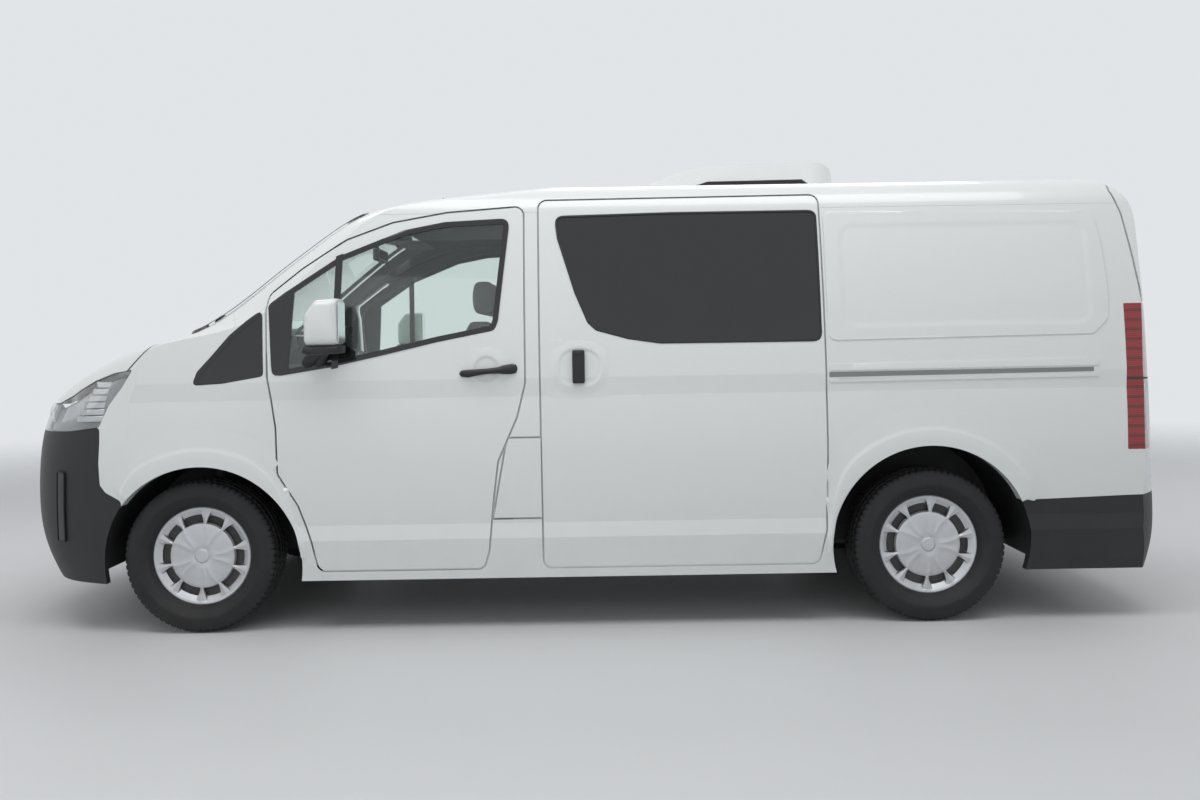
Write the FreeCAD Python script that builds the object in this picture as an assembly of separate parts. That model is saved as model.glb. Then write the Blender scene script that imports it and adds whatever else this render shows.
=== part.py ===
import FreeCAD, Part
import math
import os

# Refrigerated panel van with a lift-up tailgate, right-hand drive, millimetres.
# X runs from nose to tail, Y to the vehicle's right, Z up. The origin lies on the floor
# below the middle of the body.

# Overall body
WHEELBASE = 3210.0
FRONT_OVERHANG = 970.0
REAR_OVERHANG = 1085.0
BODY_WIDTH = 1950.0
BODY_HEIGHT = 1990.0
WALL = 60.0
SKIN = 22.0
SHEET = 4.0
PANEL_GAP = 8.0
SEAT_GAP = 0.3
MOVING_GAP = 6.0
GLASS = 5.0
OVERRUN = 400.0
SEAM_RADIUS = 40.0
DOOR_STEP = 24.0
FLAP_THICKNESS = 12.0
JAMB_WIDTH = 20.0
JAMB_THICKNESS = 8.0
SHORT = 1.0

# Wheels and running gear
TYRE_RADIUS = 335.0
TYRE_WIDTH = 235.0
RIM_RADIUS = 203.0
RIM_WALL = 7.0
TRACK = 1640.0
HUB_RADIUS = 62.0
SPINDLE_RADIUS = 22.0
SPINDLE_PLAY = 0.5
COVER_OFFSET = 70.0
COVER_DEPTH = 26.0
COVER_SPOKES = 10
COVER_RADIUS = 219.0
COVER_SHEET = 5.0
DISC_RADIUS = 150.0
DISC_THICKNESS = 24.0
KINGPIN_OFFSET = 95.0
KINGPIN_DROP = 105.0
KINGPIN_INSET = 5.0
KINGPIN_TILT = 11.3
KNUCKLE_WIDTH = 70.0
KNUCKLE_DEPTH = 90.0
KNUCKLE_HEIGHT = 230.0
BALL_RADIUS = 24.0
STRUT_RADIUS = 30.0
STRUT_HEIGHT = 480.0
ARM_HEIGHT = 40.0
AXLE_RADIUS = 45.0
SPRING_RADIUS = 52.0
SPRING_Y = 415.0
PROP_RADIUS = 31.0
FRONT_ARCH_RADIUS = 435.0
FRONT_ARCH_AHEAD = -22.0
FRONT_ARCH_Z = 305.0
REAR_ARCH_RADIUS = 432.0
REAR_ARCH_Z = 347.0
ARCH_INNER_Y = 490.0
ARM_LENGTH = 480.0
FRONT_RAIL_Z = 410.0
TYRE_SHARES = ((0.606, 0.30), (0.76, 0.96), (0.90, 0.98), (1.0, 0.80))
BEAD_SHARE = 0.28
HUB_DEPTH_SHARE = 1.7
COVER_SHARES = ((0.0, 0.30), (0.13, 0.30), (0.16, 0.0), (0.35, 0.10), (0.63, -0.10), (0.68, -0.45),
                (0.92, -0.15), (0.955, 0.10), (1.0, 0.0))
COVER_BACK_SHARES = ((0.92, -0.60), (0.60, -0.70), (0.0, -0.20))
SLOT_SHARES = (0.69, 0.90)
SPINDLE_SHARE = 1.4
CALIPER_SHARES = (0.72, 1.1)
CALIPER_OUT_SHARE = 0.1
BEAM_WIDTH_SHARE = 1.6
STRUT_ROD_SHARE = 0.6
SPRING_SEAT_SHARE = 1.5
AXLE_END_SHARE = 1.2
SPINDLE_END_SHARE = 0.4
HOUSING_SHARE = 2.4
HOUSING_SHARES = ((-1.0, 0.35), (-0.8, 0.75), (-0.3, 1.0), (0.3, 1.0), (0.8, 0.75), (1.0, 0.35))

# Floor, cab and load space
SILL_Z = 225.0
CAB_FLOOR_Z = 430.0
LOAD_FLOOR_Z = 560.0
FLOOR_PLATE = 30.0
RAIL_Y = 440.0
RAIL_WIDTH = 70.0
RAIL_HEIGHT = 100.0
BULKHEAD_X = -300.0
BULKHEAD_THICKNESS = 34.0
FIREWALL_X = -1610.0
FIREWALL_THICKNESS = 25.0
FIREWALL_TOP_Z = 1150.0
ENGINE_LENGTH = 560.0
ENGINE_WIDTH = 560.0
ENGINE_HEIGHT = 620.0
ENGINE_Z = 400.0
ENGINE_X = -2330.0
CRADLE_X = (-2130.0, -2050.0)
CRADLE_HEIGHT = 40.0
TANK_LENGTH = 700.0
TANK_X = -180.0
MUFFLER_RADIUS = 85.0
EXHAUST_RADIUS = 28.0
EXHAUST_Y = 250.0
EXHAUST_Z = 345.0
DASH_DEPTH = 370.0
DASH_LOW_Z = 748.0
DASH_TOP_Z = 1125.0
DASH_INSET = 100.0
DASH_SHARES = ((0.0, 0.0), (0.0, 0.88), (0.25, 1.0), (0.75, 0.90), (1.0, 0.60), (0.92, 0.10), (0.5, 0.0))
COLUMN_SHARE = 1.2
SEAT_WIDTH = 500.0
SEAT_DEPTH = 500.0
SEAT_X = -1000.0
SEAT_Z = 760.0
CUSHION_THICKNESS = 120.0
BACK_HEIGHT = 620.0
BACK_THICKNESS = 130.0
DRIVER_Y = 400.0
PASSENGER_Y = -330.0
PASSENGER_WIDTH = 860.0
SEAT_BASE_HEIGHT = SEAT_Z - CAB_FLOOR_Z - SEAT_GAP
HEADREST_HEIGHT = 170.0
HEADREST_WIDTH = 270.0
SEAT_FRAME_SHARE = 0.45
STEERING_RADIUS = 195.0
STEERING_RIM = 15.0
RIM_SIDES = 8
STEERING_X = -1150.0
STEERING_Z = 1050.0
STEERING_TILT = 28.0

# Opening parts
ROOF_SEAM_Z = 1834.0
TAILGATE_INNER_Y = 828.0
TAILGATE_BOTTOM_Z = 566.0
DOOR_HINGE_X = -1255.0
DOOR_HINGE_Y = 960.0
BONNET_HINGE_X = -1838.0
BONNET_HINGE_Z = 1288.0
TAILGATE_HINGE_X = 2395.0
TAILGATE_HINGE_Z = BODY_HEIGHT
HINGE_Z = (730.0, 920.0)
HINGE_HEIGHT = 40.0
HINGE_PLATE = 12.0
HINGE_PIN = 7.0
HINGE_REACH = 66.0
HINGE_PAD_X = (-1345.0, -1320.0)
HINGE_NECK_BACK = 10.0
HINGE_SKIN = 9.0
HINGE_CLEAR = 95.0
SWEEP_REACH = 20.0
SWEEP_Z = (596.0, 656.0)
SWEEP_ANGLES = (15.0, 25.0, 35.0, 45.0, 55.0, 62.0, 70.0)
SWEEP_GROW = 4.0
MIRROR_REACH = 1140.0
MIRROR_X = -1080.0
MIRROR_Z = 1355.0
MIRROR_WIDTH = 160.0
MIRROR_HEIGHT = 200.0
MIRROR_DEPTH = 95.0
MIRROR_DEPTH_SHARE = 0.8
MIRROR_ARM_SHARES = (0.3, 0.8)
MIRROR_ARM_INSET = 90.0
MIRROR_ARM_UPS = (20.0, -10.0, -40.0, -110.0)
MIRROR_ARM_RADIUS = 8.0
HANDLE_OUT = 30.0
HANDLE_THICKNESS = 14.0
HANDLE_SHARES = ((0.3618, 0.5563), (0.4400, 0.5563), (0.4400, 0.5874), (0.3618, 0.5874))
SLIDE_HANDLE_SHARES = ((0.5150, 0.5400), (0.5310, 0.5400), (0.5310, 0.6120), (0.5150, 0.6120))
REAR_HANDLE_SHARES = ((-0.32, 0.46), (0.32, 0.46), (0.32, 0.50), (-0.32, 0.50))
WIPER_LOW_SHARE = 0.668
WIPER_ROOT_Y = (-60.0, -680.0)
WIPER_TIP_Y = (-600.0, -90.0)
WIPER_RISE = (70.0, 75.0)
GRILLE_SLATS = 6
GRILLE_SLOT_SHARE = 0.36

# Roof cooling unit
UNIT_FRONT_X = 300.0
UNIT_REAR_X = 1278.0
UNIT_HALF_WIDTH = 400.0
UNIT_TOP_Z = 2110.0
FAN_X_FRONT = 717.0
FAN_X_REAR = 1040.0
FAN_RADIUS = 125.0
FAN_THICKNESS = 20.0
FAN_BLADES = 5
FAN_PITCH = 14.0
WELL_DEPTH = 60.0
GUARD_TOP_Z = 2150.0
UNIT_SHARES = ((0.0, -0.2), (0.03, 0.08), (0.13, 0.45), (0.26, 0.80), (0.40, 0.96), (0.60, 1.0), (0.92, 1.0),
               (0.98, 0.85), (1.0, 0.4), (1.0, -0.2))

# Sizes worked out from those above

FRONT_AXLE_X = FRONT_OVERHANG - (FRONT_OVERHANG + WHEELBASE + REAR_OVERHANG) / 2
REAR_AXLE_X = FRONT_AXLE_X + WHEELBASE
NOSE_X = FRONT_AXLE_X - FRONT_OVERHANG
TAIL_X = REAR_AXLE_X + REAR_OVERHANG
HALF_WIDTH = BODY_WIDTH / 2
WHEEL_Y = TRACK / 2
HALF_GAP = PANEL_GAP / 2
FAR_Z = BODY_HEIGHT + OVERRUN
LOAD_RAIL_Z = LOAD_FLOOR_Z - FLOOR_PLATE - RAIL_HEIGHT


def vec(x, y, z):
    return FreeCAD.Vector(x, y, z)


Y_AXIS = vec(0, 1, 0)
Z_AXIS = vec(0, 0, 1)
ORIGIN = vec(0, 0, 0)
KINGPIN_LOW = vec(FRONT_AXLE_X, -WHEEL_Y + KINGPIN_OFFSET - KINGPIN_INSET, TYRE_RADIUS - KINGPIN_DROP)


def station(share):
    """Length position: -1 nose, 0 front axle, 1 rear axle, 2 tail."""
    if share < 0:
        return FRONT_AXLE_X + share * FRONT_OVERHANG
    if share <= 1:
        return FRONT_AXLE_X + share * WHEELBASE
    return REAR_AXLE_X + (share - 1) * REAR_OVERHANG


def height(share):
    return share * BODY_HEIGHT


def side_points(shares):
    return [(station(along), height(up)) for along, up in shares]


def rounded_wire(points, radius):
    """Closed wire of straight runs joined by tangent arcs."""
    corners = []
    count = len(points)
    for index, point in enumerate(points):
        before = points[index - 1] - point
        after = points[(index + 1) % count] - point
        reach = min(before.Length, after.Length) / 2.1
        half = before.getAngle(after) / 2
        tangent = min(radius / math.tan(half), reach) if half > 0.01 else 0
        if radius <= 0 or half > math.pi / 2 - 0.01:
            corners.append((point, None, point))
            continue
        before.normalize()
        after.normalize()
        middle = before + after
        middle.normalize()
        bend = tangent * math.tan(half)
        crown = point + middle * (bend / math.sin(half) - bend)
        corners.append((point + before * tangent, crown, point + after * tangent))
    edges = []
    for index, (start, crown, end) in enumerate(corners):
        if crown:
            edges.append(Part.Arc(start, crown, end).toShape())
        follow = corners[(index + 1) % count][0]
        if end.distanceToPoint(follow) > 0.001:
            edges.append(Part.LineSegment(end, follow).toShape())
    return Part.Wire(edges)


def prism(axis, points, low, high, radius=0, grow=0):
    """Outline drawn square to an axis and pushed from low to high along it."""
    if axis == "x":
        corners = [vec(low, a, b) for a, b in points]
        push = vec(high - low, 0, 0)
    elif axis == "y":
        corners = [vec(a, low, b) for a, b in points]
        push = vec(0, high - low, 0)
    else:
        corners = [vec(a, b, low) for a, b in points]
        push = vec(0, 0, high - low)
    wire = rounded_wire(corners, radius)
    if grow:
        wire = wire.makeOffset2D(grow, 0, False, False, False)
    return Part.Face(wire).extrude(push)


def box(x_range, y_range, z_range):
    corner = vec(x_range[0], y_range[0], z_range[0])
    return Part.makeBox(x_range[1] - x_range[0], y_range[1] - y_range[0],
                        z_range[1] - z_range[0], corner)


def rounded_box(x_range, y_range, z_range, radius):
    """Box whose long edges across the vehicle are rounded."""
    corners = [(x_range[0], z_range[0]), (x_range[1], z_range[0]), (x_range[1], z_range[1]),
               (x_range[0], z_range[1])]
    return prism("y", corners, y_range[0], y_range[1], radius)


def tube(radius, bore, length, base, direction):
    body = Part.makeCylinder(radius, length, base, direction)
    if bore > 0:
        body = body.cut(Part.makeCylinder(bore, length, base, direction))
    return body


def join(shapes):
    shapes = list(shapes)
    return shapes[0].fuse(shapes[1:]).removeSplitter() if len(shapes) > 1 else shapes[0]


def mirrored(shape):
    return shape.mirror(ORIGIN, Y_AXIS)


def solids_of(shape):
    return [solid for solid in shape.Solids if solid.Volume > 1]


def save(name, shapes):
    solids = []
    for shape in shapes if isinstance(shapes, (list, tuple)) else [shapes]:
        solids.extend(solids_of(shape))
    result = solids[0] if len(solids) == 1 else Part.makeCompound(solids)
    result.exportStep("parts/%s.step" % name)
    box_ = result.BoundBox
    print(name, len(solids), result.isValid(), round(result.Volume / 1e6, 3),
          [round(v) for v in (box_.XMin, box_.YMin, box_.ZMin, box_.XMax, box_.YMax, box_.ZMax)])


# Cross-section of the body, as shares of half the width and of the height. Each run ends at its
# last point, and a run of two points is an arc through the first.
SECTION_SHARES = (
    ((0.954, 0.113),), ((0.985, 0.203),), ((0.979, 0.236),), ((0.9997, 0.374), (0.991, 0.513)),
    ((0.995, 0.553),), ((0.9564, 0.7364), (0.887, 0.920)), ((0.8354, 0.9655), (0.738, 0.986)),
    ((0.369, 0.9965), (0.0, 1.0)),
)

# Side outlines of the nose, windscreen and roof front, at the middle and near the side
FRONT_MIDDLE_SHARES = (
    (-0.781, 0.060), (-0.884, 0.101), (-0.956, 0.151), (-1.002, 0.211), (-1.010, 0.281),
    (-1.006, 0.352), (-0.990, 0.422), (-0.958, 0.477), (-0.894, 0.523), (-0.786, 0.555),
    (-0.647, 0.582), (-0.503, 0.605), (-0.358, 0.624), (-0.235, 0.645), (-0.142, 0.673),
    (0.007, 0.735), (0.057, 0.795), (0.110, 0.858), (0.160, 0.915), (0.206, 0.951),
    (0.269, 0.976), (0.344, 0.993), (0.456, 1.008), (0.611, 1.035), (0.674, 1.065),
)
FRONT_SIDE_SHARES = (
    (-0.585, 0.060), (-0.626, 0.101), (-0.668, 0.151), (-0.704, 0.211), (-0.723, 0.281),
    (-0.721, 0.352), (-0.709, 0.422), (-0.676, 0.477), (-0.630, 0.526), (-0.560, 0.561),
    (-0.475, 0.592), (-0.372, 0.619), (-0.268, 0.634), (-0.131, 0.650), (0.007, 0.672),
    (0.066, 0.729), (0.110, 0.789), (0.168, 0.856), (0.220, 0.916), (0.254, 0.936),
    (0.294, 0.948), (0.378, 0.958), (0.501, 0.970), (0.612, 0.998), (0.674, 1.035),
)
FRONT_PLAN_SHARES = (
    (0.0, 0.0), (0.31, 0.03), (0.56, 0.30), (0.72, 0.58), (0.87, 1.0), (0.955, 1.75), (1.04, 3.0),
)
REAR_MIDDLE_SHARES = (
    (1.509, 1.065), (1.657, 1.035), (1.767, 1.009), (1.836, 0.987), (1.887, 0.952), (1.919, 0.894),
    (1.941, 0.804), (1.961, 0.698), (1.976, 0.553), (1.979, 0.402), (1.981, 0.322), (2.006, 0.274),
    (2.008, 0.211), (1.989, 0.151), (1.933, 0.101), (1.878, 0.060),
)
REAR_SIDE_SHARES = (
    (1.509, 1.035), (1.657, 0.998), (1.749, 0.967), (1.823, 0.954), (1.869, 0.922), (1.887, 0.874),
    (1.904, 0.794), (1.922, 0.698), (1.935, 0.553), (1.939, 0.402), (1.941, 0.322), (1.950, 0.274),
    (1.952, 0.211), (1.938, 0.151), (1.896, 0.101), (1.859, 0.060),
)
REAR_PLAN_SHARES = (
    (0.0, 0.0), (0.31, 0.03), (0.56, 0.25), (0.72, 0.5), (0.87, 1.0), (0.955, 2.2), (1.04, 4.0),
)

# Seams seen from the side: length station and share of the height
FRONT_DOOR_SHARES = (
    (0.0974, 0.7296), (0.1005, 0.5638), (0.1114, 0.4523), (0.1129, 0.3518), (0.1394, 0.2814),
    (0.1565, 0.2010), (0.1643, 0.1347), (0.3902, 0.1347), (0.3980, 0.1759), (0.4042, 0.2764),
    (0.4120, 0.3719), (0.4385, 0.4673), (0.4503, 0.5427), (0.4497, 0.9357), (0.3435, 0.9236),
    (0.2687, 0.9025), (0.2064, 0.8653), (0.1441, 0.8030), (0.0989, 0.7472),
)
DOOR_WINDOW_SHARES = (
    (0.1070, 0.5638), (0.1861, 0.5829), (0.2581, 0.6080), (0.3332, 0.6352), (0.4095, 0.6583),
    (0.4142, 0.6799), (0.4307, 0.9085), (0.3410, 0.9020), (0.2846, 0.8849), (0.1998, 0.8307),
    (0.1232, 0.7487), (0.1014, 0.7236),
)
CORNER_PANE_SHARES = (
    (-0.0057, 0.5477), (0.0055, 0.5774), (0.0263, 0.6146), (0.0488, 0.6568), (0.0712, 0.6874),
    (0.0930, 0.7130), (0.0955, 0.5660), (0.0403, 0.5513),
)
SLIDING_DOOR_SHARES = (
    (0.4712, 0.1347), (0.8466, 0.1347), (0.8569, 0.2111), (0.8587, 0.3819), (0.8584, 0.6231),
    (0.8578, 0.9523), (0.4693, 0.9487),
)
SLIDING_WINDOW_SHARES = (
    (0.4914, 0.9121), (0.6540, 0.9166), (0.8544, 0.9166), (0.8544, 0.6231), (0.7379, 0.6231),
    (0.6350, 0.6236), (0.5911, 0.6342), (0.5472, 0.6543), (0.5357, 0.6714), (0.5185, 0.7387),
    (0.4955, 0.8603),
)
FUEL_FLAP_SHARES = ((0.4245, 0.4236), (0.4712, 0.4236), (0.4712, 0.2457), (0.4035, 0.2457))
TAIL_LAMP_SHARES = ((1.787, 0.696), (2.06, 0.696), (2.06, 0.377), (1.783, 0.377))
TAILGATE_SHARES = (
    (1.7811, 1.0553), (1.7811, 0.9503), (1.8134, 0.8975), (1.8392, 0.8060), (1.8650, 0.6980),
    (2.0622, 0.6980), (2.0622, 1.0553),
)
REAR_BUMPER_SHARES = (
    (1.3396, 0.2683), (1.7682, 0.2759), (2.0622, 0.2799), (2.0622, 0.0754), (1.3645, 0.0754),
)
FRONT_BUMPER_SHARES = (
    (-1.1727, 0.0603), (-0.3325, 0.0603), (-0.3325, 0.2980), (-0.4098, 0.3161), (-0.4376, 0.3317),
    (-0.4438, 0.3769), (-0.4387, 0.4271), (-0.4400, 0.4600), (-0.6160, 0.4482), (-1.1727, 0.4422),
)
HEADLAMP_SHARES = (
    (-1.1727, 0.4422), (-0.6160, 0.4482), (-0.4448, 0.4588), (-0.4356, 0.4658), (-0.3943, 0.5065),
    (-0.3294, 0.5447), (-0.2737, 0.5859), (-0.3727, 0.5759), (-0.4716, 0.5598), (-0.5562, 0.5392),
    (-0.6036, 0.5251), (-0.6985, 0.5075), (-1.1727, 0.4899),
)
BONNET_SHARES = (
    (-1.1727, 0.4899), (-0.6985, 0.5075), (-0.6036, 0.5251), (-0.5562, 0.5392), (-0.4716, 0.5598),
    (-0.3727, 0.5759), (-0.3046, 0.5809), (-0.1809, 0.6427), (-0.1809, 0.7538), (-1.1727, 0.7538),
)
FENDER_SHARES = (
    (-0.50, 0.8040), (-0.50, 0.0603), (0.1690, 0.0603), (0.1690, 0.4523), (0.0989, 0.5638),
    (0.0958, 0.7186), (0.0600, 0.6709), (0.0413, 0.7085), (0.0319, 0.8040),
)
HEADLAMP_INNER_SHARE = 0.5
SCREEN_REAR_SHARE = 0.33
COWL_REAR_SHARE = 0.06
ROOF_FRONT_SHARE = 0.15
SIDE_FRONT_SHARE = 0.01
SCREEN_SHARES = ((-0.80, 0.660), (0.80, 0.660), (0.70, 0.935), (0.60, 0.945), (-0.60, 0.945), (-0.70, 0.935))
BONNET_PLAN_SHARES = (
    (-1.2, -1.1), (-0.181, -1.1), (-0.185, -0.72), (-0.22, -0.4), (-0.245, 0.0), (-0.22, 0.4),
    (-0.185, 0.72), (-0.181, 1.1), (-1.2, 1.1),
)
GRILLE_SHARES = ((-0.42, 0.365), (0.42, 0.365), (0.45, 0.475), (0.40, 0.487), (-0.40, 0.487), (-0.45, 0.475))
REAR_GLASS_SHARES = ((-0.72, 0.64), (0.72, 0.64), (0.66, 0.90), (-0.66, 0.90))


def inset_chain(points, depth):
    """Open outline moved by depth to the left of its direction."""
    moved = []
    last = len(points) - 1
    for index, (a, b) in enumerate(points):
        before = points[max(index - 1, 0)]
        after = points[min(index + 1, last)]
        run = math.hypot(after[0] - before[0], after[1] - before[1])
        moved.append((a - depth * (after[1] - before[1]) / run, b + depth * (after[0] - before[0]) / run))
    return moved


def section_solid(depth):
    """The width section, pushed along the whole body."""
    chain = [(HALF_WIDTH * out, height(up)) for run in SECTION_SHARES for out, up in run]
    chain = inset_chain(chain, depth)
    chain[-1] = (0, chain[-1][1])
    if depth:
        chain[0] = (chain[0][0], chain[0][1] - OVERRUN)
    corners = [vec(NOSE_X, a, b) for a, b in chain]
    edges = []
    index = 0
    for run in SECTION_SHARES[1:]:
        ends = corners[index:index + len(run) + 1]
        edges.append(Part.Arc(*ends).toShape() if len(run) == 2 else Part.LineSegment(*ends).toShape())
        index += len(run)
    base = vec(NOSE_X, 0, corners[0].z)
    edges.append(Part.LineSegment(corners[-1], base).toShape())
    edges.append(Part.LineSegment(base, corners[0]).toShape())
    return Part.Face(Part.Wire(edges)).extrude(vec(TAIL_X - NOSE_X, 0, 0))


def end_solid(middle_shares, side_shares, plan_shares, depth, push):
    """All that lies behind one curved end surface of the body."""
    rows = []
    middle = side_points(middle_shares)
    side = side_points(side_shares)
    widths = [(-out, blend) for out, blend in plan_shares[:0:-1]] + list(plan_shares)
    for out, blend in widths:
        chain = [(m[0] + blend * (s[0] - m[0]), m[1] + min(blend, 1.5) * (s[1] - m[1]))
                 for m, s in zip(middle, side)]
        if depth:
            chain = inset_chain(chain, -depth)
        rows.append([vec(a, out * HALF_WIDTH, b) for a, b in chain])
    surface = Part.BSplineSurface()
    knots_u, mults_u = uniform_knots(len(rows))
    knots_v, mults_v = uniform_knots(len(rows[0]))
    surface.buildFromPolesMultsKnots(rows, mults_u, mults_v, knots_u, knots_v, False, False, 3, 3)
    return surface.toShape().extrude(vec(push, 0, 0))


def uniform_knots(count):
    spans = count - 3
    return [float(i) for i in range(spans + 1)], [4] + [1] * (spans - 1) + [4]


FORMS = {}


def body_form(depth):
    """Left half of the body, filled, with its surface moved in by depth."""
    if depth not in FORMS:
        reach = (TAIL_X - NOSE_X) * 1.5
        half = mirrored(section_solid(depth))
        front = end_solid(FRONT_MIDDLE_SHARES, FRONT_SIDE_SHARES, FRONT_PLAN_SHARES, depth, reach)
        rear = end_solid(REAR_MIDDLE_SHARES, REAR_SIDE_SHARES, REAR_PLAN_SHARES, depth, -reach)
        FORMS[depth] = half.common(front).common(rear)
    return FORMS[depth]


def layer(outer, inner):
    return body_form(outer).cut(body_form(inner))


def side_prism(shares, radius=SEAM_RADIUS, grow=0.0, inner_y=0.0):
    return prism("y", side_points(shares), -inner_y, -HALF_WIDTH - OVERRUN, radius, grow)


def front_prism(shares, x_range, radius=SEAM_RADIUS, grow=0.0):
    points = [(out * HALF_WIDTH, height(up)) for out, up in shares]
    return prism("x", points, x_range[0], x_range[1], radius, grow)


def plan_prism(shares, z_range, radius=0.0, grow=0.0):
    points = [(station(along), out * HALF_WIDTH) for along, out in shares]
    return prism("z", points, z_range[0], z_range[1], radius, grow)


def arch_cylinder(axle_x, z, radius, inner_y):
    return Part.makeCylinder(radius, HALF_WIDTH - inner_y + OVERRUN, vec(axle_x, -inner_y, z),
                             vec(0, -1, 0))


def wheel_arches(margin, inner_y):
    front = arch_cylinder(FRONT_AXLE_X - FRONT_ARCH_AHEAD, FRONT_ARCH_Z, FRONT_ARCH_RADIUS + margin,
                          inner_y)
    rear = arch_cylinder(REAR_AXLE_X, REAR_ARCH_Z, REAR_ARCH_RADIUS + margin, inner_y)
    return [front, rear]


def gate_zone(grow):
    """Left half of the tailgate's outline, seen from behind below and from the side above."""
    tail_x = (station(1.5), TAIL_X + OVERRUN)
    shoulder_z = height(TAILGATE_SHARES[4][1])
    low = box(tail_x, (-TAILGATE_INNER_Y - grow, 0), (TAILGATE_BOTTOM_Z - grow, shoulder_z + SEAM_RADIUS))
    return low.fuse(side_prism(TAILGATE_SHARES, 0, grow))


def door_zone(grow):
    return side_prism(FRONT_DOOR_SHARES, SEAM_RADIUS, grow)


def sliding_zone(grow):
    return side_prism(SLIDING_DOOR_SHARES, SEAM_RADIUS, grow)


def stepped(panel, zone):
    """Sets the inner part of a panel back from its skin's edge."""
    ring = zone(HALF_GAP).cut(zone(-HALF_GAP - DOOR_STEP))
    return panel.cut(ring.common(body_form(SKIN)))


def jamb(zone):
    """Flange of the opening that a stepped panel closes on."""
    ring = zone(HALF_GAP + SHORT).cut(zone(-JAMB_WIDTH))
    return ring.common(layer(SKIN + SEAT_GAP, SKIN + JAMB_THICKNESS))


def opening_panels(shell):
    """Doors, tailgate and fuel flap of the left half."""
    door = stepped(shell.common(door_zone(-HALF_GAP)), door_zone)
    door = door.cut(side_prism(DOOR_WINDOW_SHARES))
    for z in HINGE_Z:
        door = door.cut([hinge_pocket(z), hinge_pin(z, SPINDLE_PLAY)])
    sliding = stepped(shell.common(sliding_zone(-HALF_GAP)), sliding_zone)
    sliding = sliding.cut(side_prism(SLIDING_WINDOW_SHARES).common(layer(0, SKIN)))
    gate = stepped(shell.common(gate_zone(-HALF_GAP)), gate_zone)
    gate = gate.cut(front_prism(REAR_GLASS_SHARES, (REAR_AXLE_X, TAIL_X + OVERRUN)))
    flap_zone = side_prism(FUEL_FLAP_SHARES, SHEET, -HALF_GAP).cut(door_zone(HALF_GAP))
    flap = layer(0, FLAP_THICKNESS).common(flap_zone)
    stop = layer(FLAP_THICKNESS - SHORT, FLAP_THICKNESS + MOVING_GAP - SEAT_GAP).common(flap_stop())
    return {"front_door": door, "sliding_door": sliding, "tailgate": gate, "fuel_flap": flap.fuse(stop)}


def flap_stop():
    """Rubber stop behind the free edge of the fuel flap."""
    right = station(FUEL_FLAP_SHARES[1][0]) - JAMB_WIDTH
    low = height(FUEL_FLAP_SHARES[2][1])
    high = height(FUEL_FLAP_SHARES[1][1])
    middle = (low + high) / 2
    return box((right - JAMB_WIDTH, right), (-HALF_WIDTH - OVERRUN, 0),
               (middle - JAMB_WIDTH / 2, middle + JAMB_WIDTH / 2))


def hinge_pin(z, play):
    reach = HINGE_HEIGHT / 2 + MOVING_GAP + HINGE_PLATE
    return Part.makeCylinder(HINGE_PIN + play, 2 * reach, vec(DOOR_HINGE_X, -DOOR_HINGE_Y, z - reach), Z_AXIS)


def hinge_pocket(z):
    """Room for a hinge arm behind the door's skin."""
    high = HINGE_HEIGHT / 2 + MOVING_GAP
    back = DOOR_HINGE_X + HINGE_NECK_BACK + HINGE_PLATE / 2 + MOVING_GAP
    room = box((HINGE_PAD_X[0], back), (-HALF_WIDTH, 0), (z - high, z + high))
    return room.common(body_form(HINGE_SKIN))


def door_hinges():
    """Cranked arms on the pillar's inner face, with the pins that the doors turn on."""
    arms = []
    near = -DOOR_HINGE_Y + HINGE_REACH
    for z in HINGE_Z:
        span = (z - HINGE_HEIGHT / 2, z + HINGE_HEIGHT / 2)
        middle = DOOR_HINGE_X + HINGE_NECK_BACK
        neck_x = (middle - HINGE_PLATE / 2, middle + HINGE_PLATE / 2)
        neck = box(neck_x, (-DOOR_HINGE_Y + SHORT, near + HINGE_PLATE), span)
        leaf = box((HINGE_PAD_X[0], neck_x[1]), (near, near + HINGE_PLATE), span)
        pad = box(HINGE_PAD_X, (-HALF_WIDTH, near + SHORT), span).common(body_form(WALL + SEAT_GAP))
        arms.append(join([neck, leaf, pad, hinge_pin(z, 0)]))
    return [arm for left in arms for arm in pair(left)]


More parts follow.
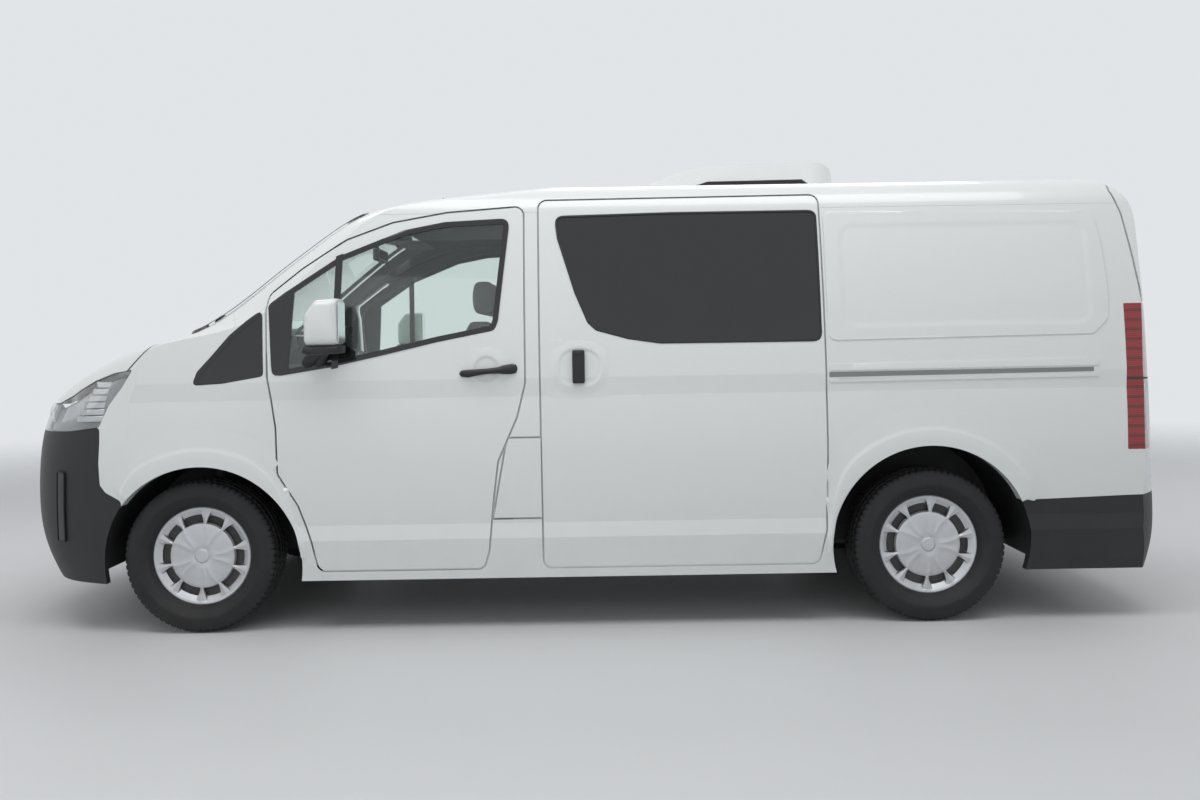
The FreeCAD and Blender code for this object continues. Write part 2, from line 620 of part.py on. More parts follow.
def shell_panels():
    """Splits the left half of the body shell along its real seams."""
    shell = layer(0, WALL)
    panels = opening_panels(shell)
    arches = wheel_arches(0, 0)
    door_hole = door_zone(HALF_GAP)
    sliding_hole = sliding_zone(HALF_GAP)
    gate_hole = gate_zone(HALF_GAP)
    flap_hole = side_prism(FUEL_FLAP_SHARES, SHEET, HALF_GAP).common(body_form(-SHORT).cut(
        body_form(FLAP_THICKNESS + MOVING_GAP)))
    holes = [door_hole, sliding_hole]
    lamp_inner = HEADLAMP_INNER_SHARE * HALF_WIDTH
    lamp = side_prism(HEADLAMP_SHARES, SEAM_RADIUS / 8, -SEAT_GAP, lamp_inner + SEAT_GAP)
    lamp_hole = side_prism(HEADLAMP_SHARES, SEAM_RADIUS / 8, SEAT_GAP, lamp_inner - SEAT_GAP)
    nose_x = (NOSE_X - OVERRUN, FRONT_AXLE_X)
    grille = front_prism(GRILLE_SHARES, nose_x)
    panels["headlamp"] = shell.common(lamp).cut(grille)
    bumper_zone = side_prism(FRONT_BUMPER_SHARES, SEAM_RADIUS / 2, -SEAT_GAP)
    bonnet_hole = side_prism(BONNET_SHARES, SEAM_RADIUS / 8, HALF_GAP).common(
        plan_prism(BONNET_PLAN_SHARES, (0, FAR_Z), 0, HALF_GAP))
    bonnet_zone = side_prism(BONNET_SHARES, SEAM_RADIUS / 8, -HALF_GAP).common(
        plan_prism(BONNET_PLAN_SHARES, (0, FAR_Z), 0, -HALF_GAP))
    panels["bonnet"] = layer(0, SKIN).common(bonnet_zone).cut(grille)
    front_panel = shell.common(box(nose_x, (-lamp_inner + SEAT_GAP, 0),
                                   (height(FRONT_BUMPER_SHARES[-1][1]) - SEAT_GAP - SHORT,
                                    height(BONNET_SHARES[0][1]) - HALF_GAP)))
    bumper = shell.common(bumper_zone).cut([lamp_hole, grille] + arches)
    panels["front_bumper"] = bumper.fuse(front_panel.cut([grille, bonnet_hole]))
    tail_x = (REAR_AXLE_X, TAIL_X + OVERRUN)
    rear_bumper = shell.common(side_prism(REAR_BUMPER_SHARES, SEAM_RADIUS / 4, -SEAT_GAP)).cut(arches)
    gate_jamb = jamb(gate_zone)
    bumper_top = height(REAR_BUMPER_SHARES[0][1])
    low_jamb = layer(SKIN + SEAT_GAP, SKIN + JAMB_THICKNESS).common(
        box(tail_x, (-TAILGATE_INNER_Y + JAMB_WIDTH + SHORT, 0),
            (bumper_top, TAILGATE_BOTTOM_Z + JAMB_WIDTH)))
    panels["rear_bumper"] = rear_bumper.fuse(low_jamb)
    tail_lamp = side_prism(TAIL_LAMP_SHARES, SEAM_RADIUS / 8, -SEAT_GAP, TAILGATE_INNER_Y + HALF_GAP)
    panels["tail_lamp"] = shell.common(tail_lamp).cut(gate_hole)
    lamp_gap = side_prism(TAIL_LAMP_SHARES, SEAM_RADIUS / 8, SEAT_GAP, TAILGATE_INNER_Y - HALF_GAP)
    screen_x = (NOSE_X, station(SCREEN_REAR_SHARE))
    screen = front_prism(SCREEN_SHARES, screen_x)
    pane = side_prism(CORNER_PANE_SHARES, SEAM_RADIUS / 2)
    bumper_hole = side_prism(FRONT_BUMPER_SHARES, SEAM_RADIUS / 2, SEAT_GAP)
    rear_hole = side_prism(REAR_BUMPER_SHARES, SEAM_RADIUS / 4, SEAT_GAP)
    cowl_x = (station(BONNET_PLAN_SHARES[4][0]) - HALF_GAP, station(COWL_REAR_SHARE))
    cowl_zone = box(cowl_x, (-lamp_inner + SEAT_GAP, 0), (height(BONNET_SHARES[6][1]), FAR_Z))
    panels["cowl"] = layer(0, SKIN).common(cowl_zone).cut([bonnet_hole, screen])
    centre_cut = box((NOSE_X - OVERRUN, FRONT_AXLE_X), (-lamp_inner, 0), (0, FAR_Z))
    fender = shell.common(side_prism(FENDER_SHARES, 0, -SEAT_GAP))
    beside = [bumper_hole, lamp_hole, bonnet_hole, screen, pane, door_hole, grille, centre_cut]
    panels["fender"] = fender.cut(beside + arches + door_sweep())
    roof_zone = box((station(ROOF_FRONT_SHARE), TAIL_X), (-HALF_WIDTH, 0), (ROOF_SEAM_Z + SEAT_GAP, FAR_Z))
    door_jamb = jamb(door_zone).cut(hinge_side())
    jambs = door_jamb.fuse(jamb(sliding_zone))
    roof = shell.common(roof_zone).cut([screen, gate_hole] + holes)
    panels["roof"] = roof.fuse(jambs.common(roof_zone))
    side_zone = box((station(SIDE_FRONT_SHARE), TAIL_X), (-HALF_WIDTH - OVERRUN, -HALF_WIDTH / 2),
                    (0, ROOF_SEAM_Z - SEAT_GAP))
    fender_hole = side_prism(FENDER_SHARES, 0, SEAT_GAP)
    side = shell.common(side_zone).cut(
        [screen, gate_hole, lamp_gap, rear_hole, fender_hole, pane] + holes + arches)
    low_zone = box(tail_x, (-TAILGATE_INNER_Y + JAMB_WIDTH, 0), (0, TAILGATE_BOTTOM_Z + JAMB_WIDTH + SHORT))
    side_jambs = jambs.fuse(gate_jamb).common(side_zone).cut([fender_hole, lamp_gap, rear_hole])
    panels["body_side"] = side.fuse(side_jambs).cut(low_zone)
    panels["body_side_flap"] = panels["body_side"].cut(flap_hole)
    glass = layer(SHORT, SHORT + GLASS)
    panels["windscreen"] = glass.common(front_prism(SCREEN_SHARES, screen_x, SEAM_RADIUS, -SEAT_GAP))
    panels["door_glass"] = glass.common(side_prism(DOOR_WINDOW_SHARES, SEAM_RADIUS, -SEAT_GAP))
    panels["corner_pane"] = glass.common(side_prism(CORNER_PANE_SHARES, SEAM_RADIUS / 2, -SEAT_GAP))
    panels["sliding_glass"] = layer(SHORT, SKIN - SEAT_GAP).common(
        side_prism(SLIDING_WINDOW_SHARES, SEAM_RADIUS, -SEAT_GAP))
    panels["tailgate_glass"] = glass.common(front_prism(REAR_GLASS_SHARES, tail_x, SEAM_RADIUS, -SEAT_GAP))
    return panels


def hinge_side():
    """Front edge of the door opening, which the door's edge swings into."""
    return box((NOSE_X, DOOR_HINGE_X + HINGE_CLEAR), (-HALF_WIDTH, 0), (0, FAR_Z))


def door_sweep():
    """Room beside the fender for the door's lower front edge as it swings."""
    near = box((DOOR_HINGE_X - SWEEP_REACH, DOOR_HINGE_X + SWEEP_REACH),
               (-HALF_WIDTH - OVERRUN, -DOOR_HINGE_Y + SWEEP_REACH), SWEEP_Z)
    edge = door_zone(-HALF_GAP + SWEEP_GROW).common(near).common(body_form(-SWEEP_GROW))
    swept = []
    for angle in SWEEP_ANGLES:
        turned = edge.copy()
        turned.rotate(vec(DOOR_HINGE_X, -DOOR_HINGE_Y, 0), Z_AXIS, -angle)
        swept.append(turned)
    return swept


def both(half):
    """A panel that crosses the middle, from its left half."""
    return half.fuse(mirrored(half))


def pair(left):
    return [left, mirrored(left)]


def revolved(points, centre, radius=0.0):
    """Ring from an outline of (radius, distance outward along -Y), turned about the wheel axis."""
    wire = rounded_wire([vec(r, -out, 0) for r, out in points], radius)
    ring = Part.Face(wire).revolve(ORIGIN, Y_AXIS, 360)
    ring.translate(centre)
    return ring


def wheel_centre(axle_x):
    return vec(axle_x, -WHEEL_Y, TYRE_RADIUS)


def tyre(axle_x):
    half = TYRE_WIDTH / 2
    side = [(share_r * TYRE_RADIUS, share_w * half) for share_r, share_w in TYRE_SHARES]
    other = [(r, -w) for r, w in side[::-1]]
    return revolved(side + other, wheel_centre(axle_x))


def wheel(axle_x):
    """Steel rim with its hub, brake disc and ten-window cover."""
    centre = wheel_centre(axle_x)
    bead = TYRE_WIDTH * BEAD_SHARE
    hub_out = bead / 2
    hub_in = -DISC_THICKNESS * HUB_DEPTH_SHARE
    bore = SPINDLE_RADIUS + SPINDLE_PLAY
    rim_in = RIM_RADIUS - RIM_WALL
    hub_edge = hub_out + RIM_WALL
    rim = revolved([(rim_in, -bead), (RIM_RADIUS, -bead), (RIM_RADIUS, COVER_OFFSET - COVER_SHEET),
                    (rim_in, COVER_OFFSET - COVER_SHEET), (rim_in, hub_edge), (0, hub_edge), (0, hub_out),
                    (rim_in, hub_out)], centre)
    hub = revolved([(bore, hub_in), (DISC_RADIUS, hub_in), (DISC_RADIUS, hub_in + DISC_THICKNESS),
                    (HUB_RADIUS, hub_in + DISC_THICKNESS), (HUB_RADIUS, hub_out + SHORT),
                    (bore, hub_out + SHORT)], centre)
    return join([rim, hub, wheel_cover(centre)])


def wheel_cover(centre):
    front = [(r * COVER_RADIUS, COVER_OFFSET + d * COVER_DEPTH) for r, d in COVER_SHARES]
    back = [(r * COVER_RADIUS, COVER_OFFSET + d * COVER_DEPTH) for r, d in COVER_BACK_SHARES]
    cover = revolved(front + [(COVER_RADIUS, COVER_OFFSET - COVER_SHEET)] + back, centre)
    inner, outer = [share * COVER_RADIUS for share in SLOT_SHARES]
    wide = math.pi * outer / COVER_SPOKES - RIM_WALL
    narrow = math.pi * inner / COVER_SPOKES - RIM_WALL
    slots = []
    for index in range(COVER_SPOKES):
        slot = prism("y", [(-narrow, inner), (narrow, inner), (wide, outer), (-wide, outer)],
                     -COVER_OFFSET - COVER_DEPTH, -COVER_OFFSET + COVER_DEPTH)
        slot.rotate(ORIGIN, Y_AXIS, 360 * (index + 0.5) / COVER_SPOKES)
        slot.translate(centre)
        slots.append(slot)
    return cover.cut(slots)


def kingpin_point(up):
    return vec(FRONT_AXLE_X, KINGPIN_LOW.y + up * math.tan(math.radians(KINGPIN_TILT)), KINGPIN_LOW.z + up)


def kingpin_cylinder(radius, low, high):
    base = kingpin_point(low)
    top = kingpin_point(high)
    return Part.makeCylinder(radius, (top - base).Length, base, top - base)


def knuckle():
    """Steering knuckle with its spindle and brake caliper."""
    inner_y = -WHEEL_Y + KINGPIN_OFFSET + KNUCKLE_WIDTH / 2
    outer_y = -WHEEL_Y + HUB_RADIUS
    block = box((FRONT_AXLE_X - KNUCKLE_DEPTH / 2, FRONT_AXLE_X + KNUCKLE_DEPTH / 2), (outer_y, inner_y),
                (KINGPIN_LOW.z + BALL_RADIUS, KINGPIN_LOW.z + KNUCKLE_HEIGHT - BALL_RADIUS))
    spindle = Part.makeCylinder(SPINDLE_RADIUS, HUB_RADIUS * SPINDLE_SHARE + SHORT,
                                vec(FRONT_AXLE_X, outer_y + SHORT, TYRE_RADIUS), vec(0, -1, 0))
    bosses = kingpin_cylinder(BALL_RADIUS, 0, KNUCKLE_HEIGHT)
    bridge_x = [FRONT_AXLE_X + DISC_RADIUS * share for share in CALIPER_SHARES]
    half = KNUCKLE_DEPTH / 2
    caliper = box(bridge_x, (-WHEEL_Y - HUB_RADIUS * CALIPER_OUT_SHARE, outer_y + DISC_THICKNESS),
                  (TYRE_RADIUS - half, TYRE_RADIUS + half))
    disc_mid = -WHEEL_Y + DISC_THICKNESS * (HUB_DEPTH_SHARE - 0.5)
    slot = Part.makeCylinder(DISC_RADIUS + MOVING_GAP, DISC_THICKNESS + 2 * MOVING_GAP,
                             vec(FRONT_AXLE_X, disc_mid + DISC_THICKNESS / 2 + MOVING_GAP, TYRE_RADIUS),
                             vec(0, -1, 0))
    bracket = box((FRONT_AXLE_X, bridge_x[1]), (outer_y, outer_y + DISC_THICKNESS),
                  (TYRE_RADIUS - half / 2, TYRE_RADIUS + half / 2))
    return join([block, spindle, bosses, bracket, caliper.cut(slot)])


def front_suspension():
    """Cross member, lower arms and struts; the struts end under the wheelhouse liners."""
    low = KINGPIN_LOW.z
    reach = RAIL_WIDTH * BEAM_WIDTH_SHARE
    beam = box((FRONT_AXLE_X - reach, FRONT_AXLE_X + reach), (-RAIL_Y, 0),
               (low - ARM_HEIGHT, low + RAIL_WIDTH))
    post = box((FRONT_AXLE_X - RAIL_WIDTH, FRONT_AXLE_X + RAIL_WIDTH / 2),
               (-RAIL_Y - RAIL_WIDTH / 2, -RAIL_Y + RAIL_WIDTH / 2),
               (low - ARM_HEIGHT, FRONT_RAIL_Z - SEAT_GAP))
    ball = kingpin_point(-SPINDLE_PLAY)
    arm_face = [(FRONT_AXLE_X - RAIL_WIDTH, -RAIL_Y), (FRONT_AXLE_X + RAIL_WIDTH, -RAIL_Y),
                (FRONT_AXLE_X + BALL_RADIUS, ball.y), (FRONT_AXLE_X - BALL_RADIUS, ball.y)]
    arm = prism("z", arm_face, low - ARM_HEIGHT, low - ARM_HEIGHT / 3, 0)
    socket = kingpin_cylinder(BALL_RADIUS, -ARM_HEIGHT, -SPINDLE_PLAY)
    top = KNUCKLE_HEIGHT + STRUT_HEIGHT
    rod = kingpin_cylinder(STRUT_RADIUS * STRUT_ROD_SHARE, KNUCKLE_HEIGHT + SPINDLE_PLAY, top)
    spring = kingpin_cylinder(STRUT_RADIUS, KNUCKLE_HEIGHT * SPRING_SEAT_SHARE, top)
    arch = arch_cylinder(FRONT_AXLE_X - FRONT_ARCH_AHEAD, FRONT_ARCH_Z, FRONT_ARCH_RADIUS - SEAT_GAP, 0)
    strut = rod.fuse(spring).common(arch)
    lower = join([beam, post, arm, socket])
    return [both(lower).removeSplitter(), strut, mirrored(strut)]


def rear_axle():
    """Rear axle with its trailing arms and the propeller shaft."""
    end_y = WHEEL_Y - HUB_RADIUS * AXLE_END_SHARE
    centre = vec(REAR_AXLE_X, 0, TYRE_RADIUS)
    beam = Part.makeCylinder(AXLE_RADIUS, 2 * end_y, centre - Y_AXIS * end_y, Y_AXIS)
    spindle_end = WHEEL_Y + HUB_RADIUS * SPINDLE_END_SHARE
    spindle = Part.makeCylinder(SPINDLE_RADIUS, 2 * spindle_end, centre - Y_AXIS * spindle_end, Y_AXIS)
    size = AXLE_RADIUS * HOUSING_SHARE
    outline = [(up * size, along * size) for along, up in HOUSING_SHARES]
    housing = revolved([(0, outline[0][1])] + outline + [(0, outline[-1][1])], centre)
    start = ENGINE_X + ENGINE_LENGTH + SEAT_GAP
    shaft = Part.makeCylinder(PROP_RADIUS, REAR_AXLE_X - start, vec(start, 0, TYRE_RADIUS), vec(1, 0, 0))
    arms = []
    for side in (-1, 1):
        near = side * RAIL_Y - RAIL_WIDTH / 2
        arm = box((REAR_AXLE_X - ARM_LENGTH, REAR_AXLE_X), (near, near + RAIL_WIDTH),
                  (TYRE_RADIUS - RAIL_WIDTH, TYRE_RADIUS))
        post = box((REAR_AXLE_X - ARM_LENGTH, REAR_AXLE_X - ARM_LENGTH + RAIL_WIDTH),
                   (near, near + RAIL_WIDTH),
                   (TYRE_RADIUS - RAIL_WIDTH, LOAD_RAIL_Z - SEAT_GAP))
        arms.extend([arm, post])
    springs = []
    for side in (-1, 1):
        foot = vec(REAR_AXLE_X - ARM_LENGTH / 2, side * SPRING_Y, TYRE_RADIUS + SEAT_GAP)
        spring = Part.makeCylinder(SPRING_RADIUS, LOAD_RAIL_Z - TYRE_RADIUS - 2 * SEAT_GAP, foot, Z_AXIS)
        springs.append(spring)
    return [join([beam, spindle, housing, shaft] + arms)] + springs


def floor_pan():
    """Cab floor with its two long rails and the engine's cross member, and the load floor lying on them."""
    inside = body_form(WALL + SEAT_GAP)
    step_rear = BULKHEAD_X + BULKHEAD_THICKNESS
    cab = box((FIREWALL_X + SEAT_GAP, step_rear), (-HALF_WIDTH, 0), (CAB_FLOOR_Z - FLOOR_PLATE, CAB_FLOOR_Z))
    step = box((BULKHEAD_X, step_rear), (-HALF_WIDTH, 0), (CAB_FLOOR_Z - FLOOR_PLATE, LOAD_FLOOR_Z))
    load = box((step_rear + SEAT_GAP, TAIL_X - WALL * 3), (-HALF_WIDTH, 0),
               (LOAD_FLOOR_Z - FLOOR_PLATE, LOAD_FLOOR_Z))
    front_x = NOSE_X + WALL * 4
    low = CAB_FLOOR_Z - FLOOR_PLATE - RAIL_HEIGHT
    top = LOAD_RAIL_Z + RAIL_HEIGHT - SEAT_GAP
    rail_points = [(front_x, FRONT_RAIL_Z), (FIREWALL_X, FRONT_RAIL_Z), (FIREWALL_X + RAIL_HEIGHT, low),
                   (BULKHEAD_X - RAIL_HEIGHT, low), (BULKHEAD_X + RAIL_HEIGHT, LOAD_RAIL_Z),
                   (TAIL_X - WALL * 4, LOAD_RAIL_Z), (TAIL_X - WALL * 4, top), (BULKHEAD_X, top),
                   (BULKHEAD_X, CAB_FLOOR_Z - SHORT), (FIREWALL_X, CAB_FLOOR_Z - SHORT),
                   (FIREWALL_X, FRONT_RAIL_Z + RAIL_HEIGHT), (front_x, FRONT_RAIL_Z + RAIL_HEIGHT)]
    rail = prism("y", rail_points, -RAIL_Y - RAIL_WIDTH / 2, -RAIL_Y + RAIL_WIDTH / 2)
    cut = wheel_arches(SHEET + SEAT_GAP, ARCH_INNER_Y - SHEET - SEAT_GAP)
    cradle_top = ENGINE_Z - SEAT_GAP
    cradle = box(CRADLE_X, (-RAIL_Y - RAIL_WIDTH / 2, 0), (cradle_top - CRADLE_HEIGHT, cradle_top))
    foot = box(CRADLE_X, (-RAIL_Y - RAIL_WIDTH / 2, -RAIL_Y + RAIL_WIDTH / 2),
               (cradle_top - CRADLE_HEIGHT, FRONT_RAIL_Z + SHORT))
    frame = cab.fuse(step).common(inside).cut(cut).fuse([rail, cradle, foot])
    return [both(frame).removeSplitter(), both(load.common(inside).cut(cut)).removeSplitter()]


def wheelhouses():
    """Liners over the four wheels; the rear axle passes through a slot in the inner wall."""
    liners = []
    inside = body_form(WALL + SEAT_GAP).common(
        box((NOSE_X, TAIL_X), (-HALF_WIDTH, 0), (SILL_Z + WALL, FAR_Z)))
    reach = AXLE_RADIUS + 2 * MOVING_GAP
    slot = box((REAR_AXLE_X - reach, REAR_AXLE_X + reach), (-HALF_WIDTH, 0),
               (0, TYRE_RADIUS + AXLE_RADIUS + RAIL_WIDTH))
    for index, outer in enumerate(wheel_arches(SHEET, ARCH_INNER_Y - SHEET)):
        hollow = wheel_arches(0, ARCH_INNER_Y)[index]
        liners.append(outer.cut([hollow, slot]).common(inside))
    return [liner for half in liners for liner in pair(half)]


def bulkhead():
    inside = body_form(WALL + SEAT_GAP)
    plate = box((BULKHEAD_X, BULKHEAD_X + BULKHEAD_THICKNESS), (-HALF_WIDTH, 0),
                (LOAD_FLOOR_Z + SEAT_GAP, FAR_Z))
    return both(plate.common(inside))


def firewall():
    plate = box((FIREWALL_X - FIREWALL_THICKNESS, FIREWALL_X), (-HALF_WIDTH, 0),
                (FRONT_RAIL_Z + RAIL_HEIGHT + SEAT_GAP, FIREWALL_TOP_Z))
    arches = wheel_arches(SHEET + SEAT_GAP, ARCH_INNER_Y - SHEET - SEAT_GAP)
    return both(plate.common(body_form(WALL + SEAT_GAP)).cut(arches))


def engine():
    return box((ENGINE_X, ENGINE_X + ENGINE_LENGTH), (-ENGINE_WIDTH / 2, ENGINE_WIDTH / 2),
               (ENGINE_Z, ENGINE_Z + ENGINE_HEIGHT))


def dashboard():
    x0 = FIREWALL_X + SEAT_GAP
    points = [(x0 + a * DASH_DEPTH, DASH_LOW_Z + b * (DASH_TOP_Z - DASH_LOW_Z)) for a, b in DASH_SHARES]
    body = prism("y", points, -HALF_WIDTH, 0, WALL / 2).common(body_form(DASH_INSET))
    tilt = math.radians(STEERING_TILT)
    direction = vec(-math.cos(tilt), 0, -math.sin(tilt))
    hub = vec(STEERING_X, DRIVER_Y, STEERING_Z)
    column = Part.makeCylinder(STEERING_RIM * 2, STEERING_RADIUS * COLUMN_SHARE,
                               hub + direction * (STEERING_RIM + SHORT), direction)
    return both(body).fuse(column)


def steering_wheel():
    hub = vec(STEERING_X, DRIVER_Y, STEERING_Z)
    tilt = math.radians(STEERING_TILT)
    axis = vec(math.cos(tilt), 0, math.sin(tilt))
    ring = []
    for index in range(RIM_SIDES):
        turn = 2 * math.pi * (index + 0.5) / RIM_SIDES
        ring.append(vec(STEERING_RADIUS - STEERING_RIM + STEERING_RIM * math.cos(turn), 0,
                        STEERING_RIM * math.sin(turn)))
    rim = Part.Face(rounded_wire(ring, 0)).revolve(ORIGIN, Z_AXIS, 360)
    boss = Part.makeCylinder(STEERING_RIM * 3, STEERING_RIM * 2, vec(0, 0, -STEERING_RIM), Z_AXIS)
    spokes = []
    for turn in (0, 120, 240):
        spoke = box((0, STEERING_RADIUS - STEERING_RIM), (-STEERING_RIM, STEERING_RIM),
                    (-STEERING_RIM / 2, STEERING_RIM / 2))
        spoke.rotate(ORIGIN, Z_AXIS, turn)
        spokes.append(spoke)
    shape = rim.fuse([boss] + spokes)
    shape.Placement = FreeCAD.Placement(hub, FreeCAD.Rotation(Z_AXIS, axis))
    return shape


def seat_places():
    return ((DRIVER_Y, SEAT_WIDTH), (PASSENGER_Y, PASSENGER_WIDTH))


def seat_frames():
    frames = []
    for middle, width in seat_places():
        side = (middle - width * SEAT_FRAME_SHARE, middle + width * SEAT_FRAME_SHARE)
        base = box((SEAT_X, SEAT_X + SEAT_DEPTH), side, (CAB_FLOOR_Z + SEAT_GAP, SEAT_Z))
        back_x = SEAT_X + SEAT_DEPTH + BACK_THICKNESS
        back = box((SEAT_X + SEAT_DEPTH - SHORT, back_x + FLOOR_PLATE), side,
                   (SEAT_Z - WALL, SEAT_Z - SEAT_GAP))
        plate = box((back_x, back_x + FLOOR_PLATE), side, (SEAT_Z - WALL, SEAT_Z + BACK_HEIGHT))
        frames.append(join([base, back, plate]))
    return frames


def seat_cushions():
    pieces = []
    for middle, width in seat_places():
        side = (middle - width / 2, middle + width / 2)
        base = rounded_box((SEAT_X - WALL / 2, SEAT_X + SEAT_DEPTH - SEAT_GAP), side,
                           (SEAT_Z + SEAT_GAP, SEAT_Z + CUSHION_THICKNESS), WALL / 2)
        back = rounded_box((SEAT_X + SEAT_DEPTH, SEAT_X + SEAT_DEPTH + BACK_THICKNESS - SEAT_GAP), side,
                           (SEAT_Z + SEAT_GAP, SEAT_Z + BACK_HEIGHT), WALL / 2)
        pieces.extend([base, back])
        rests = 1 if width == SEAT_WIDTH else 2
        for index in range(rests):
            y = middle + (index - (rests - 1) / 2) * width / 2
            pieces.append(rounded_box(
                (SEAT_X + SEAT_DEPTH + WALL / 3, SEAT_X + SEAT_DEPTH + BACK_THICKNESS - SEAT_GAP),
                (y - HEADREST_WIDTH / 2, y + HEADREST_WIDTH / 2),
                (SEAT_Z + BACK_HEIGHT + SEAT_GAP, SEAT_Z + BACK_HEIGHT + HEADREST_HEIGHT), WALL / 2))
    return pieces


def fuel_tank():
    inner = -RAIL_WIDTH - PROP_RADIUS
    return rounded_box((TANK_X, TANK_X + TANK_LENGTH),
                       (-RAIL_Y + RAIL_WIDTH / 2 + MOVING_GAP, inner + RAIL_WIDTH / 3),
                       (SILL_Z + WALL, LOAD_FLOOR_Z - FLOOR_PLATE - SEAT_GAP), WALL / 2)


def exhaust():
    start = FIREWALL_X + DASH_DEPTH
    end = TAIL_X - WALL * 3
    pipe = Part.makeCylinder(EXHAUST_RADIUS, REAR_AXLE_X - ARM_LENGTH - start,
                             vec(start, EXHAUST_Y, EXHAUST_Z), vec(1, 0, 0))
    middle = vec(TANK_X + TANK_LENGTH / 2, EXHAUST_Y, EXHAUST_Z)
    muffler = Part.makeCylinder(MUFFLER_RADIUS, TANK_LENGTH, middle, vec(1, 0, 0))
    hangers = []
    for x, top in ((start + WALL, CAB_FLOOR_Z - FLOOR_PLATE),
                   (TANK_X + TANK_LENGTH, LOAD_FLOOR_Z - FLOOR_PLATE)):
        hangers.append(box((x, x + SHEET * 3), (EXHAUST_Y - WALL / 3, EXHAUST_Y + WALL / 3),
                           (EXHAUST_Z, top - SEAT_GAP)))
    return join([pipe, muffler] + hangers)


def mirror_left():
    """Door mirror: housing, glass side and arm."""
    deep = MIRROR_DEPTH * MIRROR_DEPTH_SHARE
    outer = -MIRROR_REACH
    low = MIRROR_Z - MIRROR_HEIGHT / 2
    housing = rounded_box((MIRROR_X - deep, MIRROR_X + deep), (outer, outer + MIRROR_WIDTH),
                          (low, MIRROR_Z + MIRROR_HEIGHT / 2), MIRROR_DEPTH / 3)
    near, far = [outer + MIRROR_WIDTH * share for share in MIRROR_ARM_SHARES]
    root = -HALF_WIDTH + MIRROR_ARM_INSET
    head, chin, neck, base = [low + up for up in MIRROR_ARM_UPS]
    arm = prism("x", [(near, head), (near, chin), (root, base), (root, neck), (far, head)],
                MIRROR_X - MIRROR_DEPTH / 2, MIRROR_X + MIRROR_DEPTH / 2, MIRROR_ARM_RADIUS)
    window = side_prism(DOOR_WINDOW_SHARES, SEAM_RADIUS, -SHORT)
    return join([housing, arm.cut([body_form(-SEAT_GAP).cut(window), body_form(SHORT - SEAT_GAP)])])


def pull_handle(shares, upright):
    zone = side_prism(shares, SEAM_RADIUS / 4)
    bar = layer(-HANDLE_OUT, -HANDLE_OUT + HANDLE_THICKNESS).common(zone)
    feet = layer(-HANDLE_OUT + HANDLE_THICKNESS / 2, -SEAT_GAP).common(zone)
    limits = bar.BoundBox
    if upright:
        gap = box((limits.XMin - SHORT, limits.XMax + SHORT), (-HALF_WIDTH - OVERRUN, 0),
                  (limits.ZMin + HANDLE_OUT, limits.ZMax - HANDLE_OUT))
    else:
        gap = box((limits.XMin + HANDLE_OUT, limits.XMax - HANDLE_OUT), (-HALF_WIDTH - OVERRUN, 0),
                  (limits.ZMin - SHORT, limits.ZMax + SHORT))
    return bar.fuse(feet.cut(gap))


def wiper(start, end):
    """Wiper arm and blade lying on the windscreen between two front-view places."""
    (y0, z0), (y1, z1) = start, end
    length = math.hypot(y1 - y0, z1 - z0)
    across = (-(z1 - z0) / length * HANDLE_THICKNESS, (y1 - y0) / length * HANDLE_THICKNESS)
    strip = [(y0 - across[0], z0 - across[1]), (y1 - across[0] / 2, z1 - across[1] / 2),
             (y1 + across[0] / 2, z1 + across[1] / 2), (y0 + across[0], z0 + across[1])]
    zone = prism("x", strip, NOSE_X, FRONT_AXLE_X + WHEELBASE / 4)
    return layer(-HANDLE_THICKNESS, SHORT - SEAT_GAP).common(zone)


def wipers():
    low = height(WIPER_LOW_SHARE)
    first, second = [wiper((root, low), (tip, low + rise))
                     for root, tip, rise in zip(WIPER_ROOT_Y, WIPER_TIP_Y, WIPER_RISE)]
    return [first, mirrored(second)]


def unit_x(share):
    return UNIT_FRONT_X + share * (UNIT_REAR_X - UNIT_FRONT_X)


def cooling_unit():
    rise = UNIT_TOP_Z - BODY_HEIGHT
    points = [(unit_x(a), BODY_HEIGHT + b * rise) for a, b in UNIT_SHARES]
    body = prism("y", points, -UNIT_HALF_WIDTH, 0, WALL)
    plan = prism("z", [(UNIT_FRONT_X, -UNIT_HALF_WIDTH), (UNIT_REAR_X, -UNIT_HALF_WIDTH),
                       (UNIT_REAR_X, UNIT_HALF_WIDTH), (UNIT_FRONT_X, UNIT_HALF_WIDTH)],
                 BODY_HEIGHT - OVERRUN, FAR_Z, UNIT_HALF_WIDTH / 3)
    half = body.common(plan).cut(mirrored(section_solid(-SEAT_GAP)))
    body = both(half)
    for x in (FAN_X_FRONT, FAN_X_REAR):
        well = Part.makeCylinder(FAN_RADIUS + MOVING_GAP, OVERRUN, vec(x, 0, UNIT_TOP_Z - WELL_DEPTH), Z_AXIS)
        motor = Part.makeCylinder(FAN_RADIUS / 4, WELL_DEPTH / 2 - SPINDLE_PLAY,
                                  vec(x, 0, UNIT_TOP_Z - WELL_DEPTH), Z_AXIS)
        body = body.cut(well.cut(motor))
    return body


